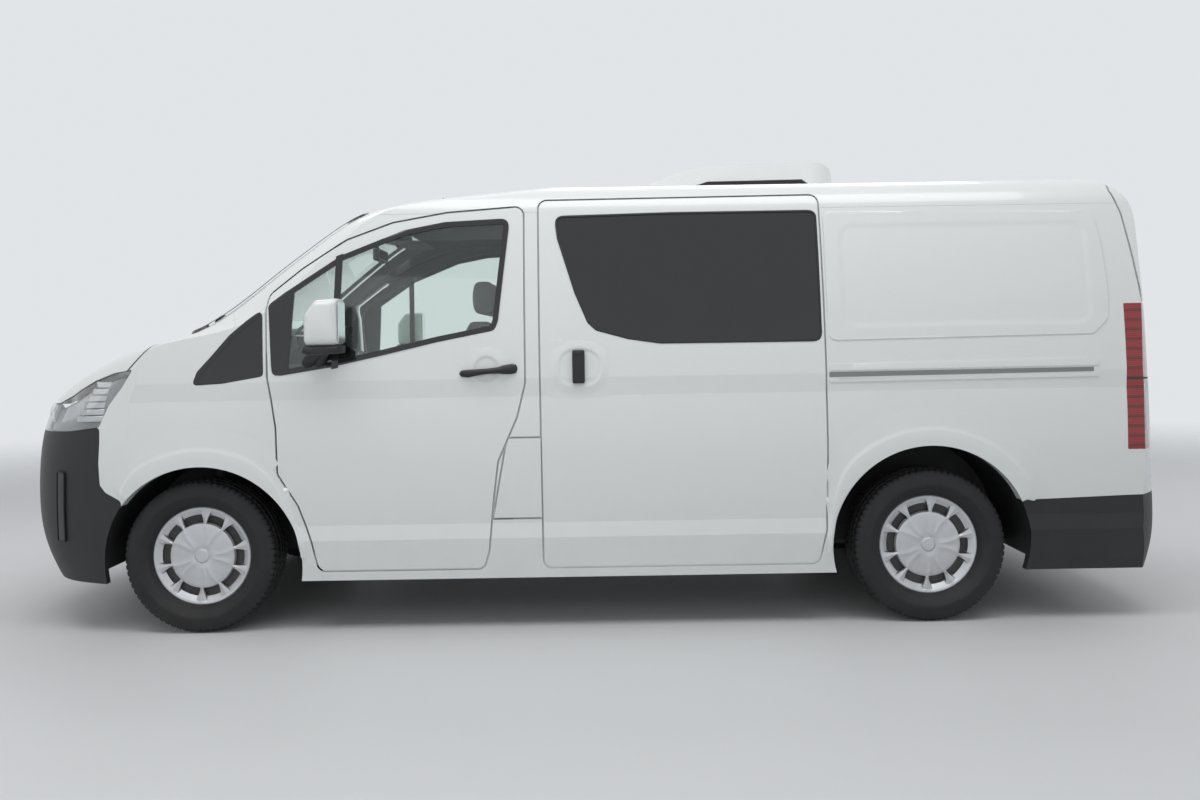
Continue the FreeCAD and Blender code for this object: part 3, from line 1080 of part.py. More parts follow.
def fan(x):
    z = UNIT_TOP_Z - WELL_DEPTH / 2
    hub = Part.makeCylinder(FAN_RADIUS / 3, FAN_THICKNESS, vec(x, 0, z), Z_AXIS)
    blades = []
    for index in range(FAN_BLADES):
        blade = box((0, FAN_RADIUS), (-FAN_RADIUS / 4, FAN_RADIUS / 4), (-SHEET / 2, SHEET / 2))
        blade.rotate(ORIGIN, vec(1, 0, 0), FAN_PITCH)
        sweep = Part.makeCylinder(FAN_RADIUS, FAN_THICKNESS * 2, vec(0, 0, -FAN_THICKNESS), Z_AXIS)
        blade = blade.common(sweep)
        blade.rotate(ORIGIN, Z_AXIS, 360 * index / FAN_BLADES)
        blade.translate(vec(x, 0, z + FAN_THICKNESS / 2))
        blades.append(blade)
    return hub.fuse(blades)


def fan_guard(x):
    """Domed wire guard over one fan."""
    outer = FAN_RADIUS + 3 * MOVING_GAP
    rim = tube(outer, FAN_RADIUS + MOVING_GAP, SHEET * 2, vec(x, 0, UNIT_TOP_Z + SEAT_GAP), Z_AXIS)
    rise = GUARD_TOP_Z - UNIT_TOP_Z
    low = GUARD_TOP_Z - rise
    crown = GUARD_TOP_Z - SHEET * 2
    parts = [rim, Part.makeCylinder(outer / 2 + SHEET, SHEET * 2, vec(x, 0, crown), Z_AXIS)]
    for index in range(FAN_BLADES * 2):
        arm = prism("y", [(outer / 2 - SHEET, crown), (outer / 2, GUARD_TOP_Z), (outer, low + SHEET * 2),
                          (outer - SHEET * 2, low + SEAT_GAP)], -SHEET, SHEET)
        arm.rotate(ORIGIN, Z_AXIS, 360 * index / (FAN_BLADES * 2))
        arm.translate(vec(x, 0, 0))
        parts.append(arm)
    return parts[0].fuse(parts[1:])


def grille():
    """Slatted radiator grille between the headlamps."""
    zone = front_prism(GRILLE_SHARES, (NOSE_X - OVERRUN, FRONT_AXLE_X), SEAM_RADIUS, -SEAT_GAP)
    panel = layer(MOVING_GAP, SKIN + MOVING_GAP).common(zone)
    low = height(GRILLE_SHARES[0][1])
    pitch = (height(GRILLE_SHARES[3][1]) - low) / GRILLE_SLATS
    slots = []
    for index in range(GRILLE_SLATS):
        z = low + pitch * (index + 0.5)
        slots.append(box((NOSE_X - OVERRUN, FRONT_AXLE_X), (-HALF_WIDTH * GRILLE_SLOT_SHARE, 0),
                         (z - pitch / 4, z + pitch / 4)))
    return both(panel.cut(slots))


def rear_handle():
    """Bar over the number plate place on the tailgate."""
    zone = front_prism(REAR_HANDLE_SHARES, (REAR_AXLE_X, TAIL_X + WALL), SEAM_RADIUS / 4)
    return both(layer(-HANDLE_THICKNESS, -SEAT_GAP).common(zone))


def build():
    panels = shell_panels()
    save("body_side_left", panels["body_side_flap"])
    save("body_side_right", mirrored(panels["body_side"]))
    for name in ("fender", "front_door", "door_glass"):
        save(name + "_left", panels[name])
        save(name + "_right", mirrored(panels[name]))
    for name in ("headlamp", "tail_lamp", "corner_pane"):
        save(name + "s", pair(panels[name]))
    save("sliding_doors", pair(panels["sliding_door"]))
    save("sliding_glass", pair(panels["sliding_glass"]))
    for name in ("front_bumper", "rear_bumper", "bonnet", "tailgate", "tailgate_glass", "roof", "windscreen"):
        save(name, both(panels[name]))
    save("cowl", both(panels["cowl"]))
    save("fuel_flap", panels["fuel_flap"])
    for name, axle_x in (("front", FRONT_AXLE_X), ("rear", REAR_AXLE_X)):
        rolled = tyre(axle_x)
        rim = wheel(axle_x)
        save("tyre_%s_left" % name, rolled)
        save("tyre_%s_right" % name, mirrored(rolled))
        save("wheel_%s_left" % name, rim)
        save("wheel_%s_right" % name, mirrored(rim))
    upright = knuckle()
    save("knuckle_left", upright)
    save("knuckle_right", mirrored(upright))
    save("front_suspension", front_suspension())
    save("rear_axle", rear_axle())
    save("floor_pan", floor_pan())
    save("wheelhouses", wheelhouses())
    save("bulkhead", bulkhead())
    save("firewall", firewall())
    save("door_hinges", door_hinges())
    save("engine", engine())
    save("dashboard", dashboard())
    save("steering_wheel", steering_wheel())
    save("seat_frames", seat_frames())
    save("seat_cushions", seat_cushions())
    save("fuel_tank", fuel_tank())
    save("exhaust", exhaust())
    fittings = [mirror_left(), pull_handle(HANDLE_SHARES, False)]
    save("door_fittings_left", fittings)
    save("door_fittings_right", [mirrored(fitting) for fitting in fittings])
    save("slide_handles", pair(pull_handle(SLIDE_HANDLE_SHARES, True)))
    save("wipers", wipers())
    save("grille", grille())
    save("tailgate_handle", rear_handle())
    save("cooling_unit", cooling_unit())
    save("fan_guards", [fan_guard(FAN_X_FRONT), fan_guard(FAN_X_REAR)])
    save("fan_front", fan(FAN_X_FRONT))
    save("fan_rear", fan(FAN_X_REAR))


if __name__ == "__main__":
    os.makedirs("parts", exist_ok=True)
    build()
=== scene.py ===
import logging
import math
from dataclasses import dataclass, replace
from enum import Enum
from typing import Callable, Sequence

import bmesh
import bpy
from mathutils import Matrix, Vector
from mathutils.bvhtree import BVHTree


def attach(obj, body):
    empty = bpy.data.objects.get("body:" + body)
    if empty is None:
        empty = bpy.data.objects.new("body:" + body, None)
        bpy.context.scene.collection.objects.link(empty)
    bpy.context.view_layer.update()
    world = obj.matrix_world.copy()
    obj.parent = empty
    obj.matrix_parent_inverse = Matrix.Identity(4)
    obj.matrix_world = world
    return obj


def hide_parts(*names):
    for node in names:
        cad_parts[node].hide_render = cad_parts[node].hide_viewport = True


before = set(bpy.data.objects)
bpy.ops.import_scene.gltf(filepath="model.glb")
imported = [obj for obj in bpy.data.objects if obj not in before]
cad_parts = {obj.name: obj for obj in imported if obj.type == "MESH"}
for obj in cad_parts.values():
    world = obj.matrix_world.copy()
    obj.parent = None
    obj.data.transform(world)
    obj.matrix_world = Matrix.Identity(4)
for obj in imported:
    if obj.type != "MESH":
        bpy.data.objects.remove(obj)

log = logging.getLogger("van")

Colour = tuple[float, float, float]
Flat = tuple[float, float]
ROOT = "root"
MILLI = 0.001


class Facing(Enum):
    """Side of the van that is seen: the axis that points out of it, and its sign."""

    LEFT = (1, -1)
    RIGHT = (1, 1)
    NOSE = (0, -1)
    TAIL = (0, 1)

    @property
    def axis(self) -> int:
        """Number of the axis that points out."""
        return self.value[0]

    def point(self, out: float, a: float, b: float) -> Vector:
        """Point at a distance out, with X or Y along the outline and a height."""
        axis, sign = self.value
        return Vector((a, sign * out, b)) if axis else Vector((sign * out, a, b))


class Side(Enum):
    """Left and right of the van; the value is the sign of Y."""

    LEFT = -1
    RIGHT = 1

    @property
    def tag(self) -> str:
        """Word used in piece and node names."""
        return self.name.lower()

    @property
    def facing(self) -> Facing:
        """How this side is seen."""
        return Facing[self.name]

    def at(self, x: float, out: float, z: float) -> Vector:
        """Point at a distance out from the middle on this side."""
        return Vector((x, self.value * out, z))


class Slot(Enum):
    """Material slots of the record."""

    PAINT = "white_paint"
    TRIM = "black_trim"
    DARK = "dark_glass"
    LAMP = "lamp_clear"
    RUBBER = "tyre_rubber"
    SILVER = "wheel_silver"
    CHASSIS = "chassis_black"
    STEEL = "steel"
    CAB = "cab_trim"
    CLOTH = "seat_cloth"


def flat_mm(points: Sequence[Flat]) -> tuple[Flat, ...]:
    """Outline given in millimetres, as metres."""
    return tuple((a * MILLI, b * MILLI) for a, b in points)


def sided(*names: str) -> tuple[str, ...]:
    """Names with left and right behind each."""
    return tuple(f"{name}_{side.tag}" for name in names for side in Side)


def turns(count: int) -> list[Flat]:
    """Cosine and sine of evenly spaced angles round a circle."""
    return [(math.cos(2 * math.pi * k / count), math.sin(2 * math.pi * k / count)) for k in range(count)]


def ease(value: float) -> float:
    """Smooth rise from 0 to 1."""
    value = max(0.0, min(1.0, value))
    return value * value * (3 - 2 * value)


def placed(name: str, data: bpy.types.ID) -> bpy.types.Object:
    """New object in the scene."""
    item = bpy.data.objects.new(name, data)
    bpy.context.scene.collection.objects.link(item)
    return item


def grown_verts(grown: dict) -> list[bmesh.types.BMVert]:
    """New points of an extrusion."""
    return [item for item in grown["geom"] if isinstance(item, bmesh.types.BMVert)]


def rgba(colour: Sequence[float]) -> tuple[float, ...]:
    """Colour with full alpha."""
    return (*colour, 1.0)


class Graph:
    """Places and links nodes in one node tree."""

    def __init__(self, tree: bpy.types.NodeTree) -> None:
        """Keeps the tree."""
        self.tree = tree

    def give(self, item: bpy.types.Node, inputs: dict) -> None:
        """Sets or links inputs of a node, by their name or number."""
        for key, value in inputs.items():
            if isinstance(value, bpy.types.NodeSocket):
                self.tree.links.new(value, item.inputs[key])
            else:
                item.inputs[key].default_value = value

    def node(self, kind: str, inputs: dict | None = None, **settings: object) -> bpy.types.Node:
        """Adds a node.

        Args:
            kind: node type name.
            inputs: values or sockets by input name or number.
            settings: attributes of the node.

        Returns:
            The new node.
        """
        item = self.tree.nodes.new(kind)
        for key, value in settings.items():
            setattr(item, key, value)
        self.give(item, inputs or {})
        return item

    def effect(self, tree: bpy.types.NodeTree, **values: float) -> bpy.types.bpy_prop_collection:
        """Adds a shared effect with values for its inputs and returns its outputs."""
        return self.node("ShaderNodeGroup", values, node_tree=tree).outputs

    def math(self, operation: str, *values: object, clamp: bool = False) -> bpy.types.NodeSocket:
        """Adds a Math node and returns its output."""
        item = self.node("ShaderNodeMath", dict(enumerate(values)), operation=operation, use_clamp=clamp)
        return item.outputs[0]

    def blend(self, share: object, first: object, second: object) -> bpy.types.NodeSocket:
        """Mixes two colours by a share and returns the result."""
        return self.node("ShaderNodeMix", {0: share, 6: first, 7: second}, data_type="RGBA").outputs[2]

    def rise(self, value: object, low: object, high: object) -> bpy.types.NodeSocket:
        """Maps a value smoothly from low..high to 0..1."""
        item = self.node("ShaderNodeMapRange", {0: value, 1: low, 2: high}, interpolation_type="SMOOTHSTEP")
        return item.outputs[0]

    def place(self) -> bpy.types.NodeSocket:
        """Place on the object."""
        return self.node("ShaderNodeTexCoord").outputs["Object"]

    def split(self, vector: object) -> bpy.types.bpy_prop_collection:
        """X, Y and Z of a vector."""
        return self.node("ShaderNodeSeparateXYZ", {0: vector}).outputs

    def noise(self, place: object, scale: object, detail: float, roughness: float = 0.5) -> bpy.types.NodeSocket:
        """Adds noise and returns its value."""
        return self.node("ShaderNodeTexNoise", {"Vector": place, "Scale": scale, "Detail": detail,
                                                "Roughness": roughness}).outputs[0]


class Look(Graph):
    """Nodes of a new material, with its main shader."""

    def __init__(self, name: str) -> None:
        """Makes the material."""
        self.material = bpy.data.materials.new(name)
        self.material.use_nodes = True
        super().__init__(self.material.node_tree)
        self.shader = self.tree.nodes["Principled BSDF"]

    def bump(self, height: object, distance: float, strength: float) -> bpy.types.NodeSocket:
        """Adds a bump and returns the normal bent by it."""
        return self.node("ShaderNodeBump", {"Strength": strength, "Distance": distance,
                                            "Height": height}).outputs[0]

    def clear(self, share: object, colour: Sequence[float] = (1.0, 1.0, 1.0)) -> None:
        """Lets light pass by a share, in a colour."""
        through = self.node("ShaderNodeBsdfTransparent", {"Color": rgba(colour)})
        mixed = self.node("ShaderNodeMixShader", {0: share, 1: self.shader.outputs[0], 2: through.outputs[0]})
        self.give(self.tree.nodes["Material Output"], {"Surface": mixed.outputs[0]})

    def made(self, inputs: dict[str, object]) -> bpy.types.Material:
        """Gives the shader its inputs and returns the material."""
        self.give(self.shader, inputs)
        return self.material


class Effects:
    """Node groups for effects that several finishes share, each built once."""

    built: dict[str, bpy.types.NodeTree] = {}

    @classmethod
    def group(cls, name: str, inputs: dict[str, float], outputs: Sequence[str],
              fill: Callable[[Graph, bpy.types.bpy_prop_collection], Sequence[bpy.types.NodeSocket]],
              ) -> bpy.types.NodeTree:
        """Builds a group of float sockets, or gives the one already built.

        Args:
            name: name of the group.
            inputs: default value of each input.
            outputs: names of the outputs.
            fill: places the nodes behind the inputs, and returns one socket for each output.

        Returns:
            The node tree of the group.
        """
        if name not in cls.built:
            tree = bpy.data.node_groups.new(name, "ShaderNodeTree")
            for label, value in inputs.items():
                socket = tree.interface.new_socket(label, in_out="INPUT", socket_type="NodeSocketFloat")
                socket.default_value = value
            for label in outputs:
                tree.interface.new_socket(label, in_out="OUTPUT", socket_type="NodeSocketFloat")
            graph = Graph(tree)
            ends = fill(graph, graph.node("NodeGroupInput").outputs)
            graph.node("NodeGroupOutput", dict(enumerate(ends)))
            cls.built[name] = tree
        return cls.built[name]

    @classmethod
    def grain(cls) -> bpy.types.NodeTree:
        """Moulded grain: pebbles of a given size, with finer noise between them."""

        def fill(graph: Graph, given: bpy.types.bpy_prop_collection) -> list[bpy.types.NodeSocket]:
            """Places the nodes."""
            place = graph.place()
            rate = graph.math("DIVIDE", 1.0, given["Size"])
            cells = graph.node("ShaderNodeTexVoronoi", {"Vector": place, "Scale": rate}, feature="SMOOTH_F1")
            fine = graph.noise(place, graph.math("MULTIPLY", rate, 2.3), 3.0)
            return [graph.math("ADD", cells.outputs["Distance"], graph.math("MULTIPLY", fine, 0.6))]

        return cls.group("moulded grain", {"Size": 0.002}, ["Height"], fill)

    @classmethod
    def film(cls) -> bpy.types.NodeTree:
        """Road film: a patchy mask that thickens towards the floor."""

        def fill(graph: Graph, given: bpy.types.bpy_prop_collection) -> list[bpy.types.NodeSocket]:
            """Places the nodes."""
            place = graph.place()
            low = graph.math("SUBTRACT", 1.0, graph.rise(graph.split(place)[2], 0.0, given["Top"]))
            cloud = graph.rise(graph.noise(place, given["Patches"], 6.0, 0.65), 0.30, 0.72)
            dots = graph.rise(graph.noise(place, 240.0, 2.0), 0.50, 0.72)
            mixed = graph.math("ADD", graph.math("MULTIPLY", cloud, 0.75), graph.math("MULTIPLY", dots, 0.35))
            return [graph.math("MULTIPLY", low, mixed, clamp=True)]

        return cls.group("road film", {"Top": 0.9, "Patches": 7.0}, ["Mask"], fill)

    @classmethod
    def tone(cls) -> bpy.types.NodeTree:
        """Slow change of tone over a surface, and fine rubbed lines."""

        def fill(graph: Graph, given: bpy.types.bpy_prop_collection) -> list[bpy.types.NodeSocket]:
            """Places the nodes."""
            place = graph.place()
            drawn = graph.node("ShaderNodeMapping", {"Vector": place, "Scale": (1.0, 1.0, 26.0),
                                                     "Rotation": (0.05, 0.09, 0.4)})
            rubs = graph.noise(drawn.outputs[0], 34.0, 8.0, 0.7)
            return [graph.noise(place, given["Patches"], 4.0), graph.rise(rubs, 0.60, 0.74)]

        return cls.group("slow tone", {"Patches": 3.0}, ["Tone", "Rubs"], fill)

    @classmethod
    def inner_faces(cls) -> bpy.types.NodeTree:
        """Masks of the faces that look into the cab and into the load space."""

        def fill(graph: Graph, given: bpy.types.bpy_prop_collection) -> list[bpy.types.NodeSocket]:
            """Places the nodes."""
            here = graph.node("ShaderNodeTexCoord").outputs
            place, facing = graph.split(here["Object"]), graph.split(here["Normal"])
            across = graph.math("MULTIPLY", place[1], facing[1])
            upward = graph.math("MULTIPLY", graph.math("SUBTRACT", place[2], given["Level"]), facing[2])
            inward = graph.math("LESS_THAN", graph.math("ADD", across, upward), -0.28)
            cab = graph.math("LESS_THAN", place[0], given["Bulkhead"])
            return [graph.math("MULTIPLY", inward, zone) for zone in (cab, graph.math("SUBTRACT", 1.0, cab))]

        return cls.group("inner faces", {"Level": 1.1, "Bulkhead": -0.28}, ["Cab", "Load"], fill)


DUST: Colour = (0.22, 0.21, 0.195)
# Dark colour of inward cab faces: the real trim colour where trim covers them, and painted shade where white-painted
# inner frames show through the glass.
CAB_TRIM_AND_SHADE: Colour = (0.055, 0.056, 0.060)
LINING_INSIDE: Colour = (0.72, 0.73, 0.72)
FILM_ON_CLEAR: Colour = (0.8, 0.8, 0.78)
FILM_ON_DARK: Colour = (0.30, 0.30, 0.30)


@dataclass(frozen=True)
class Finish:
    """Opaque finish with grain, slow tone, rubbed lines and road film, and, where asked, inside colours: dark inward
    cab faces that are partly painted shade, and pale load lining.
    """

    name: str
    colour: Colour
    roughness: float
    metallic: float = 0.0
    coat: float = 0.0
    grain_size: float = 0.0015
    grain_depth: float = 0.0
    tone: float = 0.06
    patches: float = 3.0
    rubs: float = 0.04
    film: float = 0.0
    film_top: float = 0.9
    # Inward cab faces take the dark colour, partly painted shade; inward load-space faces take the pale lining.
    lined_and_shaded_inside: bool = False

    def build(self) -> bpy.types.Material:
        """Makes the material."""
        look = Look(self.name)
        tone = look.effect(Effects.tone(), Patches=self.patches)
        film = look.effect(Effects.film(), Top=self.film_top)
        shade = [value * (1 - self.tone) for value in self.colour]
        light = [min(1.0, value * (1 + self.tone)) for value in self.colour]
        colour = look.blend(tone["Tone"], rgba(shade), rgba(light))
        rough = look.math("ADD", self.roughness, look.math("MULTIPLY", tone["Rubs"], self.rubs))
        if self.lined_and_shaded_inside:
            inside = look.effect(Effects.inner_faces())
            # Partly painted shade: inward cab faces, white-painted frames included, take the dark trim colour.
            colour = look.blend(inside["Cab"], colour, rgba(CAB_TRIM_AND_SHADE))
            colour = look.blend(inside["Load"], colour, rgba(LINING_INSIDE))
            rough = look.math("ADD", rough, look.math("MULTIPLY", inside["Cab"], 0.4))
        dusty = look.math("MULTIPLY", film["Mask"], self.film)
        inputs = {"Base Color": look.blend(dusty, colour, rgba(DUST)), "Metallic": self.metallic,
                  "Roughness": look.math("ADD", rough, look.math("MULTIPLY", dusty, 0.45), clamp=True),
                  "Coat Weight": self.coat, "Coat Roughness": 0.06}
        if self.grain_depth:
            grain = look.effect(Effects.grain(), Size=self.grain_size)
            inputs["Normal"] = look.bump(grain["Height"], self.grain_depth, 1.0)
        return look.made(inputs)


@dataclass(frozen=True)
class Glass:
    """Clear or dark glazing, lightly filmed low down; light passes it when a shadow is cast."""

    name: str
    colour: Colour
    clear: bool
    roughness: float = 0.02

    def build(self) -> bpy.types.Material:
        """Makes the material."""
        look = Look(self.name)
        haze = look.math("MULTIPLY", look.effect(Effects.film(), Top=1.9, Patches=4.0)["Mask"], 0.05)
        if self.clear:
            film, own = FILM_ON_CLEAR, {"Transmission Weight": 1.0}
            look.clear(look.node("ShaderNodeLightPath").outputs["Is Shadow Ray"], self.colour)
        else:
            film, own = FILM_ON_DARK, {"Coat Weight": 0.5}
        return look.made({"Base Color": look.blend(haze, rgba(self.colour), rgba(film)), "IOR": 1.5,
                          "Roughness": look.math("ADD", self.roughness, haze), **own})


@dataclass(frozen=True)
class RibbedLens:
    """Coloured lamp lens with moulded ribs and darker bands behind it."""

    name: str
    colour: Colour
    dark: Colour
    pitch: float

    def build(self) -> bpy.types.Material:
        """Makes the material."""
        look = Look(self.name)
        along = look.math("MULTIPLY", look.split(look.place())[2], 2 * math.pi / self.pitch)
        bands = look.rise(look.math("SINE", along), 0.35, 0.8)
        tone = look.math("MULTIPLY", look.effect(Effects.tone())["Tone"], 0.3)
        share = look.math("MULTIPLY", bands, look.math("ADD", 0.75, tone))
        fine = look.math("SINE", look.math("MULTIPLY", along, 5.0))
        return look.made({"Base Color": look.blend(share, rgba(self.colour), rgba(self.dark)),
                          "Normal": look.bump(fine, 0.002, 0.35), "Roughness": 0.18, "Coat Weight": 0.9,
                          "Coat Roughness": 0.03})


@dataclass(frozen=True)
class Cloth:
    """Woven seat cloth with a fine crossed weave."""

    name: str
    colour: Colour
    thread: float

    def build(self) -> bpy.types.Material:
        """Makes the material."""
        look = Look(self.name)
        rate = 2 * math.pi / self.thread
        lines = [look.math("SINE", look.math("MULTIPLY", part, rate)) for part in look.split(look.place())]
        warp, weft, slant = (look.math("MULTIPLY", lines[a], lines[b]) for a, b in ((0, 1), (1, 2), (0, 2)))
        woven = look.math("ADD", look.math("ADD", warp, weft), slant)
        tone = look.effect(Effects.tone(), Patches=9.0)["Tone"]
        share = look.math("ADD", look.math("MULTIPLY", woven, 0.2), tone, clamp=True)
        light = [value * 1.7 for value in self.colour]
        return look.made({"Base Color": look.blend(share, rgba(self.colour), rgba(light)),
                          "Normal": look.bump(woven, self.thread * 0.3, 0.6), "Roughness": 0.92,
                          "Sheen Weight": 0.25})


BODY_PAINT = Finish("white body paint", (0.77, 0.795, 0.785), 0.30, coat=0.7, grain_size=0.02,
                    grain_depth=0.00004, tone=0.012, rubs=0.03, film=0.10, film_top=0.70, lined_and_shaded_inside=True)

FINISHES: dict[str, Finish | Glass | RibbedLens | Cloth] = {
    "paint": BODY_PAINT,
    "plain paint": replace(BODY_PAINT, name="white panel paint", lined_and_shaded_inside=False),
    "bumper": Finish("black bumper plastic", (0.016, 0.0165, 0.018), 0.50, grain_size=0.0016, grain_depth=0.0003,
                     tone=0.14, patches=5.0, rubs=0.05, film=0.06, film_top=0.9),
    "gloss trim": Finish("black gloss trim", (0.012, 0.012, 0.013), 0.14, coat=0.4, tone=0.2, rubs=0.05,
                         film=0.15, film_top=1.6),
    "rubber": Finish("black seal rubber", (0.016, 0.016, 0.016), 0.62, grain_size=0.003, grain_depth=0.0002,
                     tone=0.2, film=0.2, film_top=1.4),
    "tyre": Finish("tyre rubber", (0.010, 0.010, 0.011), 0.66, grain_size=0.004, grain_depth=0.0004, tone=0.22,
                   patches=14.0, rubs=0.03, film=0.06, film_top=0.9),
    "silver": Finish("silver wheel lacquer", (0.62, 0.63, 0.65), 0.32, metallic=0.50, coat=0.5, grain_size=0.0008,
                     grain_depth=0.00003, tone=0.05, patches=9.0, film=0.30, film_top=0.7),
    "rim steel": Finish("black painted rim steel", (0.028, 0.028, 0.030), 0.45, grain_size=0.004,
                        grain_depth=0.0001, tone=0.25, patches=12.0, film=0.45, film_top=0.9),
    "chassis": Finish("black chassis coat", (0.022, 0.022, 0.023), 0.60, grain_size=0.006, grain_depth=0.0005,
                      tone=0.3, patches=6.0, rubs=0.1, film=0.6, film_top=1.1),
    "cast": Finish("cast metal", (0.20, 0.195, 0.19), 0.55, metallic=0.6, grain_size=0.005, grain_depth=0.0008,
                   tone=0.3, patches=8.0, film=0.5, film_top=1.0),
    "steel": Finish("bare steel", (0.42, 0.40, 0.38), 0.36, metallic=1.0, grain_size=0.003, grain_depth=0.0001,
                    tone=0.2, patches=10.0, rubs=0.25, film=0.5, film_top=0.8),
    "bright": Finish("bright reflector", (0.80, 0.81, 0.82), 0.10, metallic=1.0, tone=0.03, rubs=0.03),
    "reflector": Finish("pale reflector", (0.55, 0.56, 0.57), 0.22, metallic=0.75, tone=0.03, rubs=0.03),
    "lamp bowl": Finish("grey lamp bowl", (0.20, 0.205, 0.215), 0.30, metallic=0.35, tone=0.05, rubs=0.02),
    # Grey paint as painted shade: the slide rail's slot has no real depth here, so its shadow is painted in.
    "rail channel": Finish("shaded rail channel", (0.23, 0.245, 0.24), 0.50, grain_size=0.004, grain_depth=0.0001,
                           tone=0.05, film=0.2),
    "lamp globe": Finish("frosted lamp body", (0.72, 0.74, 0.75), 0.16, coat=0.6, tone=0.02, rubs=0.02),
    "cab": Finish("grained cab plastic", (0.060, 0.061, 0.066), 0.62, grain_size=0.0018, grain_depth=0.0003,
                  tone=0.10, patches=4.0, rubs=0.06),
    "cab light": Finish("grey cab lining", (0.20, 0.20, 0.205), 0.80, grain_size=0.0025, grain_depth=0.0004,
                        tone=0.08),
    "lining": Finish("white load lining", (0.74, 0.75, 0.74), 0.42, grain_size=0.004, grain_depth=0.0003,
                     tone=0.03, rubs=0.12),
    "unit": Finish("white roof unit housing", (0.80, 0.815, 0.81), 0.36, coat=0.25, grain_size=0.003,
                   grain_depth=0.00012, tone=0.02, rubs=0.05),
    "plate": Finish("blank number plate", (0.74, 0.74, 0.70), 0.4, coat=0.3, grain_size=0.004,
                    grain_depth=0.00005, tone=0.03, film=0.2),
    "clear glass": Glass("green tinted glass", (0.86, 0.93, 0.90), True),
    "lens": Glass("clear lamp lens", (0.96, 0.97, 0.97), True),
    "dark glass": Glass("near black glazing", (0.006, 0.007, 0.008), False),
    "red lens": RibbedLens("ribbed red lens", (0.30, 0.006, 0.009), (0.12, 0.004, 0.006), 0.042),
    "screen": Glass("dark display glass", (0.01, 0.011, 0.013), False, 0.08),
    "cloth": Cloth("woven seat cloth", (0.040, 0.041, 0.046), 0.0035),
    "belt": Cloth("belt webbing", (0.025, 0.025, 0.027), 0.0025),
}

NODE_FINISHES: dict[str, Sequence[str]] = {
    "paint": ("sliding_doors", "tailgate", "roof", *sided("body_side", "front_door", "fender")),
    "plain paint": ("bonnet", "fuel_flap"),
    "bumper": ("front_bumper", "rear_bumper", "grille", "cowl", "wipers", "slide_handles", "tailgate_handle",
               "wheelhouses", "fuel_tank", "fan_guards", "fan_front", "fan_rear", *sided("door_fittings")),
    "clear glass": ("windscreen", *sided("door_glass")),
    "dark glass": ("sliding_glass", "corner_panes", "tailgate_glass"),
    "lens": ("headlamps",),
    "red lens": ("tail_lamps",),
    "tyre": sided("tyre_front", "tyre_rear"),
    "silver": sided("wheel_front", "wheel_rear"),
    "chassis": ("front_suspension", "rear_axle", "floor_pan", "firewall", "door_hinges"),
    "cast": ("engine", *sided("knuckle")),
    "steel": ("exhaust",),
    "lining": ("bulkhead",),
    "cab": ("dashboard", "steering_wheel", "seat_frames"),
    "cloth": ("seat_cushions",),
    "unit": ("cooling_unit",),
}


class Paintshop:
    """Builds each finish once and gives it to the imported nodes."""

    def __init__(self) -> None:
        """Builds all finishes."""
        self.materials = {key: finish.build() for key, finish in FINISHES.items()}

    def __getitem__(self, key: str) -> bpy.types.Material:
        """Material of a finish."""
        return self.materials[key]

    def dress_nodes(self) -> None:
        """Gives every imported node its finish."""
        for key, names in NODE_FINISHES.items():
            for name in names:
                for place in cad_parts[name].material_slots:
                    place.material = self.materials[key]
        log.info("dressed %d nodes", len(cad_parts))


SHOP = Paintshop()


